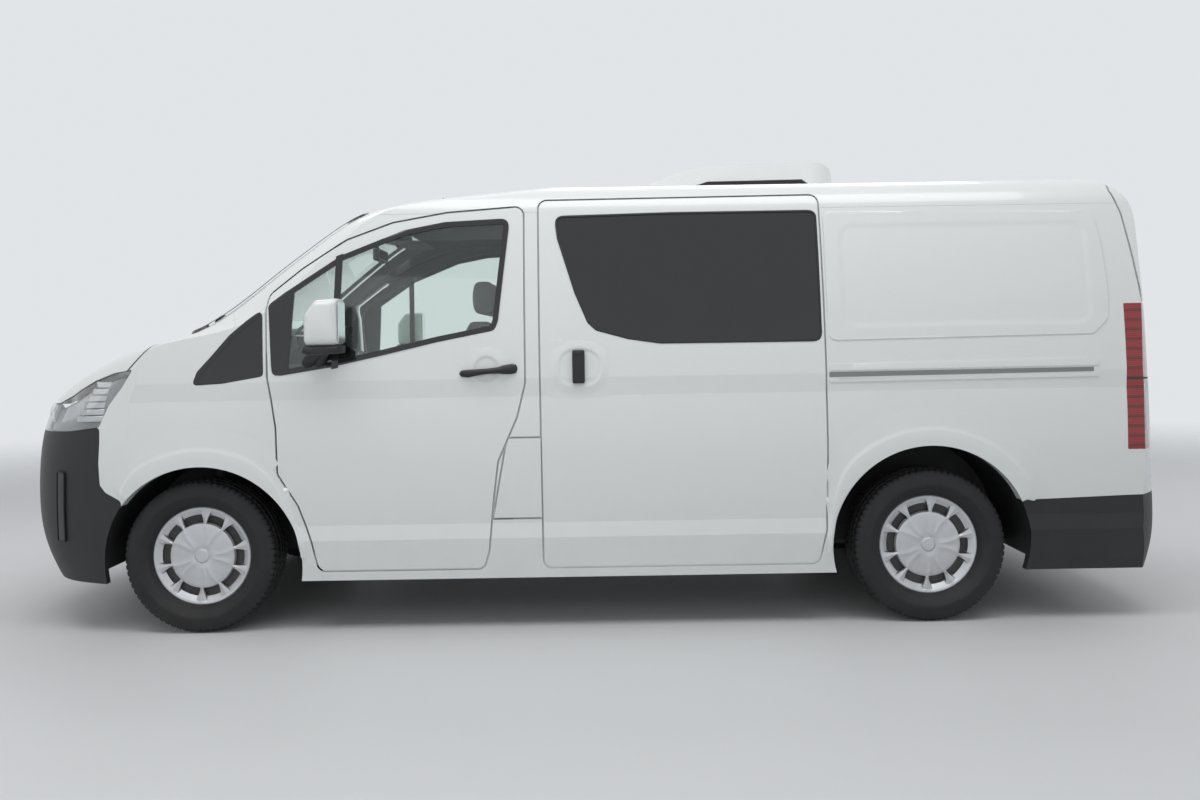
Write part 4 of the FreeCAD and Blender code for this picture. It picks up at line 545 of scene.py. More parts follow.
class Mesher:
    """Collects the points and faces of one piece."""

    def __init__(self) -> None:
        """Starts empty."""
        self.points: list[Vector] = []
        self.faces: list[tuple[int, ...]] = []

    def add(self, points: Sequence[Vector], faces: Sequence[Sequence[int]]) -> None:
        """Adds a set of points with its faces."""
        base = len(self.points)
        self.points.extend(Vector(point) for point in points)
        self.faces.extend(tuple(base + index for index in face) for face in faces)

    def grid(self, rows: Sequence[Sequence[Vector]], wrap_rows: bool = False, wrap_columns: bool = False) -> None:
        """Adds a skin over rows of points.

        Args:
            rows: rows of equally many points.
            wrap_rows: joins the last row to the first.
            wrap_columns: joins the last column to the first.
        """
        high, wide = len(rows), len(rows[0])
        faces = []
        for row in range(high if wrap_rows else high - 1):
            here, after = row * wide, (row + 1) % high * wide
            for column in range(wide if wrap_columns else wide - 1):
                right = (column + 1) % wide
                faces.append((here + column, here + right, after + right, after + column))
        self.add([point for row in rows for point in row], faces)

    def bar(self, rows: Sequence[Sequence[Vector]]) -> None:
        """Adds a skin round rows of points, closed at both ends."""
        base, wide = len(self.points), len(rows[0])
        self.grid(rows, wrap_columns=True)
        self.faces.append(tuple(base + k for k in reversed(range(wide))))
        self.faces.append(tuple(base + (len(rows) - 1) * wide + k for k in range(wide)))

    def tube(self, path: Sequence[Sequence[float]], radius: float | Sequence[float], sides: int = 10) -> None:
        """Adds a round bar along a path."""
        path = [Vector(point) for point in path]
        rows, guide = [], None
        for index, point in enumerate(path):
            ahead = (path[min(index + 1, len(path) - 1)] - path[max(index - 1, 0)]).normalized()
            if guide is None:
                guide = ahead.orthogonal()
            guide = (guide - ahead * guide.dot(ahead)).normalized()
            up = ahead.cross(guide)
            size = radius if isinstance(radius, float) else radius[index]
            rows.append([point + size * (cos * guide + sin * up) for cos, sin in turns(sides)])
        self.bar(rows)

    def block(self, low: Sequence[float], high: Sequence[float], round_off: float = 0.004, steps: int = 2) -> None:
        """Adds a box with rounded edges.

        Args:
            low: lowest corner.
            high: highest corner.
            round_off: radius of the edges.
            steps: cuts in each rounded edge.
        """
        shape = bmesh.new()
        bmesh.ops.create_cube(shape, size=1.0)
        low, high = Vector(low), Vector(high)
        for vert in shape.verts:
            vert.co = vert.co * (high - low) + (low + high) / 2
        bmesh.ops.bevel(shape, geom=shape.edges[:], offset=round_off, segments=steps, profile=0.5, affect="EDGES")
        self.take(shape)

    def side_block(self, side: Side, low: Sequence[float], high: Sequence[float], round_off: float = 0.004,
                   steps: int = 2) -> None:
        """Adds a block whose corners are given by distances out on a side."""
        near, far = sorted((side.value * low[1], side.value * high[1]))
        self.block((low[0], near, low[2]), (high[0], far, high[2]), round_off, steps)

    def lathe(self, centre: Vector, side: Side, profile: Sequence[Flat], segments: int) -> None:
        """Adds a ring turned about a wheel's axis.

        Args:
            centre: middle of the ring.
            side: side that the outline's second value points out to.
            profile: radius and distance outward of each point of the closed outline.
            segments: steps round the axis.
        """
        rows = [[centre + Vector((radius * sin, side.value * out, radius * cos)) for cos, sin in turns(segments)]
                for radius, out in profile]
        self.grid(rows, wrap_rows=True, wrap_columns=True)

    def lathe_up(self, foot: Vector, profile: Sequence[Flat], segments: int) -> None:
        """Adds a closed form turned about an upright axis, from the radius and height of each ring."""
        self.bar([[foot + Vector((radius * cos, radius * sin, high)) for cos, sin in turns(segments)]
                  for radius, high in profile])

    def take(self, shape: bmesh.types.BMesh) -> "Mesher":
        """Adds and frees a bmesh, and returns the mesher."""
        shape.verts.index_update()
        self.add([vert.co.copy() for vert in shape.verts], [[vert.index for vert in face.verts]
                                                            for face in shape.faces])
        shape.free()
        return self

    def piece(self, name: str, body: str, slot: Slot, finish: str, crease: float = 35.0,
              replaces: Sequence[str] = ()) -> bpy.types.Object:
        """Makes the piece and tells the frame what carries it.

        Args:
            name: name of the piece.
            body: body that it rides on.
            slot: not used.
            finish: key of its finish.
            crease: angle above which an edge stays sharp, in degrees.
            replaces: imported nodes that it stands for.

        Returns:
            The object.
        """
        mesh = bpy.data.meshes.new(name)
        mesh.from_pydata(self.points, [], self.faces)
        shape = bmesh.new()
        shape.from_mesh(mesh)
        bmesh.ops.remove_doubles(shape, verts=shape.verts, dist=0.00002)
        bmesh.ops.recalc_face_normals(shape, faces=shape.faces)
        shape.to_mesh(mesh)
        shape.free()
        mesh.shade_smooth()
        mesh.set_sharp_from_angle(angle=math.radians(crease))
        item = placed(name, mesh)
        mesh.materials.append(SHOP[finish])
        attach(item, body)
        if replaces:
            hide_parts(*replaces)
        log.info("%s: %d faces on %s", name, len(mesh.polygons), body)
        return item


def between(first: Vector, last: Vector, step: float) -> list[Vector]:
    """Evenly spaced points on a run, without its ends."""
    count = int((last - first).length / step)
    return [first.lerp(last, k / (count + 1)) for k in range(1, count + 1)]


def rounded(points: Sequence[Flat], radius: float, step: float = 0.04, bends: int = 5) -> list[Flat]:
    """Closed outline with tangent arcs at its corners and points along its runs.

    Args:
        points: corners of the outline.
        radius: radius of the arcs.
        step: longest distance between points on a run.
        bends: steps in each arc.

    Returns:
        Points of the rounded outline.
    """
    corners = [Vector(point) for point in points]
    count = len(corners)
    result: list[Vector] = []
    for index, corner in enumerate(corners):
        before = corners[index - 1] - corner
        after = corners[(index + 1) % count] - corner
        half = before.angle(after) / 2
        reach = min(radius / math.tan(half), 0.45 * before.length, 0.45 * after.length)
        start = corner + before.normalized() * reach
        end = corner + after.normalized() * reach
        if result:
            result.extend(between(result[-1], start, step))
        for k in range(bends + 1):
            share = k / bends
            result.append(start * (1 - share) ** 2 + corner * (2 * share * (1 - share)) + end * share ** 2)
    result.extend(between(result[-1], result[0], step))
    return [tuple(point) for point in result]


def drawn_in(outline: Sequence[Flat], depth: float) -> list[Flat]:
    """Closed outline moved inward by a depth."""
    count = len(outline)
    area = sum(outline[k - 1][0] * outline[k][1] - outline[k][0] * outline[k - 1][1] for k in range(count))
    turn = 1 if area > 0 else -1
    result = []
    for k in range(count):
        run = Vector(outline[(k + 1) % count]) - Vector(outline[k - 1])
        run.normalize()
        result.append((outline[k][0] - turn * depth * run.y, outline[k][1] + turn * depth * run.x))
    return result


Height = float | Callable[[float, float], float]


class Skin:
    """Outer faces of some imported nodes, for laying pieces on them."""

    def __init__(self, *names: str) -> None:
        """Gathers the nodes' faces."""
        points: list[Vector] = []
        faces: list[tuple[int, ...]] = []
        for name in names:
            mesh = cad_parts[name].data
            base = len(points)
            points.extend(vert.co.copy() for vert in mesh.vertices)
            faces.extend(tuple(base + index for index in poly.vertices) for poly in mesh.polygons)
        self.tree = BVHTree.FromPolygons(points, faces)

    def meet(self, start: Vector, ahead: Vector) -> tuple[float, Vector, Vector] | None:
        """First point met from a start: its distance, its place and the face's direction against the ray."""
        place, normal, _, _ = self.tree.ray_cast(start, ahead)
        if place is None:
            return None
        return (place - start).length, place, (normal if normal.dot(ahead) < 0 else -normal)

    def outer(self, facing: Facing, a: float, b: float) -> tuple[Vector, Vector]:
        """Point on the outside at outline coordinates; seams are bridged from their edges.

        Args:
            facing: side of the van that is seen.
            a: X for a side view, Y for an end view.
            b: height.

        Returns:
            The point and the outward direction there.
        """
        near, level, far = 0.012, 0.0015, 3 if facing.axis else 4
        found = [self.meet(facing.point(far, a + near * da, b + near * db), facing.point(-1, 0, 0))
                 for da, db in ((0, 0), (1, 0), (-1, 0), (0, 1), (0, -1))]
        hits = [hit for hit in found if hit is not None]
        if not hits:
            guess = facing.point(0.95 if facing.axis else 2.5, a, b)
            return self.tree.find_nearest(guess)[0], facing.point(1, 0, 0)
        best = min(hits, key=lambda hit: hit[0])
        if found[0] is not None and found[0][0] - best[0] < level:
            best = found[0]
        place = best[1].copy()
        place[1 - facing.axis], place.z = a, b
        return place, best[2]


def lay_patch(mesher: Mesher, skin: Skin, facing: Facing, outline: Sequence[Flat], lift: Height,
              thickness: float, step: float = 0.03, calm: int = 0) -> Mesher:
    """Adds a plate that lies on the body inside an outline.

    Args:
        mesher: where the plate goes.
        skin: surface that carries it.
        facing: side of the van that is seen.
        outline: closed outline.
        lift: height of its outer face above the surface, plain or by place.
        thickness: thickness of the plate.
        step: size of the cells that follow the surface.
        calm: rounds of evening out of the carrying surface.

    Returns:
        The mesher.
    """
    shape = bmesh.new()
    shape.faces.new([shape.verts.new((a, 0, b)) for a, b in outline])
    for axis, normal in ((0, Vector((1, 0, 0))), (2, Vector((0, 0, 1)))):
        values = [vert.co[axis] for vert in shape.verts]
        for k in range(math.floor(min(values) / step) + 1, math.ceil(max(values) / step)):
            bmesh.ops.bisect_plane(shape, geom=shape.verts[:] + shape.edges[:] + shape.faces[:], dist=1e-6,
                                   plane_co=normal * (k * step), plane_no=normal)
    shape.verts.index_update()
    found = [skin.outer(facing, vert.co.x, vert.co.z) for vert in shape.verts]
    bases, ways = [place for place, _ in found], [way for _, way in found]
    inner = [(vert.index, [edge.other_vert(vert).index for edge in vert.link_edges])
             for vert in shape.verts if not vert.is_boundary]
    for _ in range(calm):
        means = [(index, sum((bases[other] for other in others), Vector()) / len(others),
                  sum((ways[other] for other in others), Vector()).normalized()) for index, others in inner]
        for index, place, way in means:
            bases[index][facing.axis] = place[facing.axis]
            ways[index] = way
    heights = [lift(vert.co.x, vert.co.z) if callable(lift) else lift for vert in shape.verts]
    tops = [base + way * height for base, way, height in zip(bases, ways, heights)]
    lows = [base + way * (height - thickness) for base, way, height in zip(bases, ways, heights)]
    count = len(tops)
    faces = [[vert.index for vert in face.verts] for face in shape.faces]
    faces += [[count + index for index in reversed(face)] for face in faces]
    for edge in shape.edges:
        if len(edge.link_faces) == 1:
            a, b = (vert.index for vert in edge.verts)
            faces.append([a, b, count + b, count + a])
    shape.free()
    mesher.add(tops + lows, faces)
    return mesher


def lay_sheet(skin: Skin, facing: Facing, rows: Sequence[Sequence[Flat]], lifts: Sequence[float],
              thickness: float) -> Mesher:
    """Makes a formed sheet on the body from rows of outline coordinates.

    Args:
        skin: surface that carries it.
        facing: side of the van that is seen.
        rows: rows of equally many points.
        lifts: height of each row above the surface.
        thickness: thickness of the sheet.

    Returns:
        The mesher with the sheet.
    """
    mesher = Mesher()
    tops, lows = [], []
    for row, lift in zip(rows, lifts):
        found = [skin.outer(facing, a, b) for a, b in row]
        tops.append([place + way * lift for place, way in found])
        lows.append([place + way * (lift - thickness) for place, way in found])
    ends = [[[row[k] for row in tops], [row[k] for row in lows]] for k in (0, -1)]
    for skin_rows in (tops, lows, [tops[0], lows[0]], [tops[-1], lows[-1]], *ends):
        mesher.grid(skin_rows)
    return mesher


def depth_in(a: float, b: float, low: Flat, high: Flat, radius: float) -> float:
    """Distance inside the edge of a rounded rectangle; negative outside."""
    across = abs(a - (low[0] + high[0]) / 2) - (high[0] - low[0]) / 2 + radius
    up = abs(b - (low[1] + high[1]) / 2) - (high[1] - low[1]) / 2 + radius
    return radius - math.hypot(max(across, 0.0), max(up, 0.0)) - min(max(across, up), 0.0)


def lay_strip(skin: Skin, facing: Facing, outline: Sequence[Flat], width: float, lift: float,
              thickness: float = 0.003) -> Mesher:
    """Makes a crowned strip that runs round inside an outline on the body.

    Args:
        skin: surface that carries it.
        facing: side of the van that is seen.
        outline: closed outline of the strip's outer edge.
        width: width of the strip.
        lift: height of its crown above the surface.
        thickness: depth of its edges below the crown.

    Returns:
        The mesher with the strip.
    """
    bevel = 0.0006
    mesher = Mesher()
    rows = []
    for share, sink in ((0.0, thickness), (0.0, bevel), (0.3, 0.0), (0.7, 0.0), (1.0, bevel), (1.0, thickness)):
        found = [skin.outer(facing, a, b) for a, b in drawn_in(outline, width * share)]
        rows.append([place + way * (lift - sink) for place, way in found])
    mesher.grid(rows, wrap_rows=True, wrap_columns=True)
    return mesher


FRONT_AXLE_X = -1.6625
REAR_AXLE_X = 1.5475
WHEEL_OUT = 0.820
AXLE_UP = 0.335

# Cross cuts of the tread by zone: column within a block, and share of the groove's depth.
TREAD_CUTS: dict[str, tuple[int, float]] = {"shoulder": (0, 0.85), "notch": (0, 0.25), "rib": (2, 0.5)}


@dataclass
class Tyre:
    """Road tyre with five ribs, cut shoulder blocks and a ringed side wall."""

    radius: float = 0.3345
    half_width: float = 0.1150
    bead_radius: float = 0.2035
    cover_radius: float = 0.2205
    blocks: int = 72
    steps_per_block: int = 5
    groove: float = 0.007

    def outline(self) -> list[tuple[float, float, str]]:
        """Radius, distance from the middle plane and zone of each ring of the outer half."""
        top, half = self.radius, self.half_width
        wall = [(self.bead_radius, 0.050), (self.bead_radius + 0.010, 0.068), (self.cover_radius, 0.0775),
                (0.2240, 0.0850), (0.2290, 0.0905), (0.2300, 0.0925), (0.2330, 0.0945), (0.2450, 0.1040),
                (0.2560, 0.1100), (0.2640, half), (0.2660, half + 0.0006), (0.2760, half + 0.0006),
                (0.2780, half), (0.2900, 0.1135), (0.3000, 0.1110)]
        tread = [(0.3080, 0.1085, "notch"), (0.3160, 0.1045, "notch"), (top - 0.0085, 0.0985, "shoulder"),
                 (top - 0.0045, 0.0925, "shoulder"), (top - 0.0022, 0.0800, "shoulder"),
                 (top - 0.0018, 0.0700, "shoulder"), (top - self.groove, 0.0685, "groove"),
                 (top - self.groove, 0.0595, "groove"), (top - 0.0010, 0.0580, "rib"),
                 (top - 0.0003, 0.0240, "rib"), (top - self.groove, 0.0228, "groove"),
                 (top - self.groove, 0.0138, "groove"), (top, 0.0126, "centre"), (top, 0.0, "centre")]
        return [(radius, out, "wall") for radius, out in wall] + tread

    def ring(self, centre: Vector, side: Side, radius: float, out: float, zone: str, shift: int) -> list[Vector]:
        """One ring of points, with the cuts of its zone."""
        column, share = TREAD_CUTS.get(zone, (None, 0.0))
        points = []
        for k, (cos, sin) in enumerate(turns(self.blocks * self.steps_per_block)):
            cut = (k + shift) % self.steps_per_block == column
            size = radius - self.groove * share if cut else radius
            points.append(centre + Vector((size * sin, side.value * out, size * cos)))
        return points

    def build(self, axle: str, axle_x: float, side: Side) -> None:
        """Makes one tyre."""
        centre = side.at(axle_x, WHEEL_OUT, AXLE_UP)
        rings = self.outline()
        rows = [self.ring(centre, side, radius, out, zone, 0) for radius, out, zone in rings]
        rows += [self.ring(centre, side, radius, -out, zone, 2) for radius, out, zone in reversed(rings[:-1])]
        mesher = Mesher()
        mesher.grid(rows, wrap_rows=True, wrap_columns=True)
        name = f"{axle}_{side.tag}"
        mesher.piece(f"road_tyre_{name}", f"wheel_{name}", Slot.RUBBER, "tyre", 28.0, [f"tyre_{name}"])


RIM_BARREL = ((0.1975, -0.064), (0.2030, -0.066), (0.2030, 0.046), (0.2120, 0.052), (0.2150, 0.060),
              (0.2090, 0.058), (0.1975, 0.048), (0.1900, 0.020), (0.1900, -0.040))
RIM_DISH = ((0.060, 0.036), (0.100, 0.044), (0.150, 0.034), (0.1920, 0.040), (0.1920, 0.046), (0.150, 0.040),
            (0.100, 0.050), (0.060, 0.042))
RIM_HUB = ((0.002, 0.034), (0.062, 0.034), (0.062, 0.046), (0.040, 0.060), (0.002, 0.060))
BRAKE_DISC = ((0.0625, -0.0405), (0.1495, -0.0405), (0.1495, -0.0335), (0.1440, -0.0325), (0.1440, -0.0245),
              (0.1495, -0.0235), (0.1495, -0.0170), (0.0850, -0.0170), (0.0800, 0.0100), (0.0620, 0.0300),
              (0.0625, -0.0170))


@dataclass
class Wheel:
    """Wheel cover with ten windows, its rim, hub and brake disc."""

    radius: float = 0.2195
    outward: float = 0.070
    window: Flat = (0.645, 0.922)
    spokes: Sequence[float] = (5, 38, 77, 110, 149, 182, 221, 254, 293, 326)
    narrow: float = 0.0065
    wide: float = 0.0255
    swirl: float = 0.13
    heights: Sequence[Flat] = ((0.0, 8.5), (0.115, 8.0), (0.130, 6.0), (0.150, 1.0), (0.175, 2.5), (0.24, 4.0),
                               (0.40, 3.8), (0.56, 1.6), (0.62, -0.5), (0.645, -3.0), (0.912, -2.0),
                               (0.925, 0.5), (0.945, 3.2), (0.965, 3.6), (0.985, 1.5), (1.0, -4.0))
    rows: Sequence[float] = (0.012, 0.06, 0.10, 0.115, 0.125, 0.135, 0.145, 0.155, 0.175, 0.21, 0.25, 0.29, 0.33,
                             0.37, 0.41, 0.45, 0.49, 0.53, 0.57, 0.60, 0.62, 0.635, 0.645, 0.67, 0.70, 0.74, 0.78,
                             0.82, 0.86, 0.89, 0.912, 0.922, 0.935, 0.95, 0.965, 0.98, 0.99, 1.0)
    spoke_steps: int = 8
    gap_steps: int = 12
    spoke_start: float = 0.63
    spoke_end: float = 0.945
    spoke_crown: float = 0.0052
    spoke_sink: float = 0.0015
    bow_span: Flat = (0.15, 0.68)
    bow_rise: float = 0.0034
    bow_half: float = 0.020
    edge_share: float = 0.985
    edge_draws: Flat = (0.004, -0.021)
    window_depth: float = 0.016
    rim_depth: float = 0.006
    bolts: int = 5
    bolt_circle: float = 0.055

    def height(self, share: float) -> float:
        """Outward height of the plain cover at a share of its radius."""
        for (low, first), (high, second) in zip(self.heights, self.heights[1:]):
            if share <= high:
                return (first + (second - first) * ease((share - low) / (high - low))) * MILLI
        return self.heights[-1][1] * MILLI

    def columns(self, share: float) -> list[tuple[float, float, bool]]:
        """Angle, place across its spoke from -1 to 1 and spoke flag of each column in a row."""
        flare = max(0.0, min(1.0, (share - 0.66) / 0.26))
        half = (self.narrow + (self.wide - self.narrow) * flare ** 1.5) / max(share, 0.62) / self.radius
        result = []
        for index, middle in enumerate(self.spokes):
            here = math.radians(middle)
            last = index == len(self.spokes) - 1
            following = math.radians(self.spokes[0 if last else index + 1]) + (2 * math.pi if last else 0)
            for k in range(self.spoke_steps):
                across = -1 + 2 * k / self.spoke_steps
                result.append((here + across * half, across, True))
            start, end = here + half, following - half
            for k in range(self.gap_steps):
                result.append((start + (end - start) * k / self.gap_steps, 0.0, False))
        return result

    def cover_point(self, centre: Vector, side: Side, share: float, column: tuple[float, float, bool]) -> Vector:
        """Point of the cover's face."""
        angle, across, spoke = column
        radius = share * self.radius
        height = self.height(share)
        if spoke and share > self.spoke_start:
            fade = min(1.0, (share - self.spoke_start) / 0.05) * min(1.0, max(0.0, (self.spoke_end - share) / 0.03))
            height += self.spoke_crown * fade * (1 - abs(across)) - self.spoke_sink * fade
        low, high = self.bow_span
        if low < share < high:
            bow = self.swirl * math.sin(math.pi * share / high)
            grow = min(1.0, (share - low) / 0.10)
            for index, middle in enumerate(self.spokes):
                line = math.radians(middle) + (bow if index % 2 == 0 else -bow)
                apart = abs((angle - line + math.pi) % (2 * math.pi) - math.pi) * radius
                height += self.bow_rise * grow * max(0.0, 1 - apart / self.bow_half) ** 1.5
        return centre + Vector((-side.value * radius * math.sin(angle), side.value * (self.outward + height),
                                radius * math.cos(angle)))

    def cover(self, centre: Vector, side: Side) -> Mesher:
        """Pressed cover with its windows cut and their edges turned in."""
        table = [self.columns(share) for share in self.rows]
        wide = len(table[0])
        shape = bmesh.new()
        verts = [[shape.verts.new(self.cover_point(centre, side, share, column)) for column in columns]
                 for share, columns in zip(self.rows, table)]
        middle = shape.verts.new(centre + Vector((0, side.value * (self.outward + self.height(0.0)), 0)))
        for k in range(wide):
            shape.faces.new((middle, verts[0][k], verts[0][(k + 1) % wide]))
        low, high = self.window
        for row in range(len(self.rows) - 1):
            inside = low - 0.001 <= self.rows[row] and self.rows[row + 1] <= high + 0.001
            for k in range(wide):
                if table[row][k][2] or not inside:
                    right = (k + 1) % wide
                    shape.faces.new((verts[row][k], verts[row][right], verts[row + 1][right], verts[row + 1][k]))
        edge = self.radius * self.edge_share
        cut = [item for item in shape.edges if len(item.link_faces) == 1
               and (item.verts[0].co - centre).length < edge]
        for vert in grown_verts(bmesh.ops.extrude_edge_only(shape, edges=cut)):
            flat = Vector((vert.co.x - centre.x, 0, vert.co.z - centre.z))
            share = flat.length / self.radius
            shift = self.edge_draws[0] if share < 0.75 else self.edge_draws[1] if share > 0.88 else 0.0
            vert.co += flat.normalized() * shift + Vector((0, -side.value * self.window_depth, 0))
        rim = [item for item in shape.edges if len(item.link_faces) == 1
               and (Vector((item.verts[0].co.x - centre.x, 0, item.verts[0].co.z - centre.z))).length > edge]
        for vert in grown_verts(bmesh.ops.extrude_edge_only(shape, edges=rim)):
            vert.co += Vector((0, -side.value * self.rim_depth, 0))
        return Mesher().take(shape)

    def build(self, axle: str, axle_x: float, side: Side) -> None:
        """Makes one wheel."""
        centre = side.at(axle_x, WHEEL_OUT, AXLE_UP)
        name = f"{axle}_{side.tag}"
        body = f"wheel_{name}"
        self.cover(centre, side).piece(f"cover_{name}", body, Slot.SILVER, "silver", 24.0, [body])
        rim = Mesher()
        for profile, segments in ((RIM_BARREL, 96), (RIM_DISH, 72), (RIM_HUB, 36)):
            rim.lathe(centre, side, profile, segments)
        for k in range(self.bolts):
            turn = 2 * math.pi * (k + 0.5) / self.bolts
            seat = centre + Vector((self.bolt_circle * math.sin(turn), side.value * 0.042,
                                    self.bolt_circle * math.cos(turn)))
            rim.tube([seat, seat + Vector((0, side.value * 0.018, 0))], 0.011, 6)
        rim.piece(f"rim_{name}", body, Slot.CHASSIS, "rim steel", 30.0)
        disc = Mesher()
        disc.lathe(centre, side, BRAKE_DISC, 72)
        disc.piece(f"brake_disc_{name}", body, Slot.STEEL, "steel", 30.0)


DOOR_WINDOW = flat_mm([(-1319, 1122), (-1065, 1160), (-834, 1210), (-593, 1264), (-348, 1310), (-333, 1353),
                       (-280, 1808), (-568, 1795), (-749, 1761), (-1021, 1653), (-1267, 1490), (-1337, 1440)])
CORNER_PANE = flat_mm([(-1668, 1090), (-1645, 1149), (-1578, 1223), (-1506, 1307), (-1434, 1368), (-1364, 1419),
                       (-1356, 1126), (-1533, 1097)])
SLIDING_WINDOW = flat_mm([(-85, 1815), (437, 1824), (1080, 1824), (1080, 1240), (706, 1240), (376, 1241),
                          (235, 1262), (94, 1302), (57, 1336), (2, 1470), (-72, 1712)])


@dataclass
class Glazing:
    """Frames, seals and blackout edges of the windows."""

    frame_width: float = 0.024
    divider: Sequence[Flat] = flat_mm([(-1046, 1648), (-1016, 1660), (-1030, 1158), (-1060, 1152)])
    sail: Sequence[Flat] = flat_mm([(-1338, 1438), (-1267, 1488), (-1222, 1512), (-1236, 1300), (-1250, 1136),
                                    (-1318, 1124)])
    screen: Sequence[Flat] = flat_mm([(-778, 1316), (778, 1316), (680, 1858), (582, 1878), (-582, 1878),
                                      (-680, 1858)])
    gate: Sequence[Flat] = flat_mm([(-700, 1275), (700, 1275), (642, 1790), (-642, 1790)])

    def build(self) -> None:
        """Makes the frames of every window."""
        for side in Side:
            door = f"front_door_{side.tag}"
            skin = Skin(door, f"door_glass_{side.tag}")
            parts = lay_strip(skin, side.facing, rounded(DOOR_WINDOW, 0.04), self.frame_width, 0.0022)
            lay_patch(parts, skin, side.facing, self.divider, 0.0026, 0.004)
            lay_patch(parts, skin, side.facing, rounded(self.sail, 0.03), 0.0024, 0.004)
            parts.piece(f"window_frame_{side.tag}", door, Slot.TRIM, "gloss trim")
            for name, nodes, outline, bend, width, lift, finish in (
                    ("corner_frame", ("corner_panes",), CORNER_PANE, 0.02, 0.020, 0.0022, "gloss trim"),
                    ("sliding_seal", ("sliding_doors", "sliding_glass"), SLIDING_WINDOW, 0.04, 0.009, 0.0018,
                     "rubber")):
                strip = lay_strip(Skin(*nodes), side.facing, rounded(outline, bend), width, lift)
                strip.piece(f"{name}_{side.tag}", ROOT, Slot.TRIM, finish)
        screen = lay_strip(Skin("windscreen"), Facing.NOSE, rounded(self.screen, 0.04), 0.045, 0.0016)
        screen.piece("screen_border", ROOT, Slot.TRIM, "gloss trim")
        gate = lay_strip(Skin("tailgate", "tailgate_glass"), Facing.TAIL, rounded(self.gate, 0.04), 0.012, 0.0018)
        gate.piece("gate_seal", "tailgate", Slot.TRIM, "rubber")


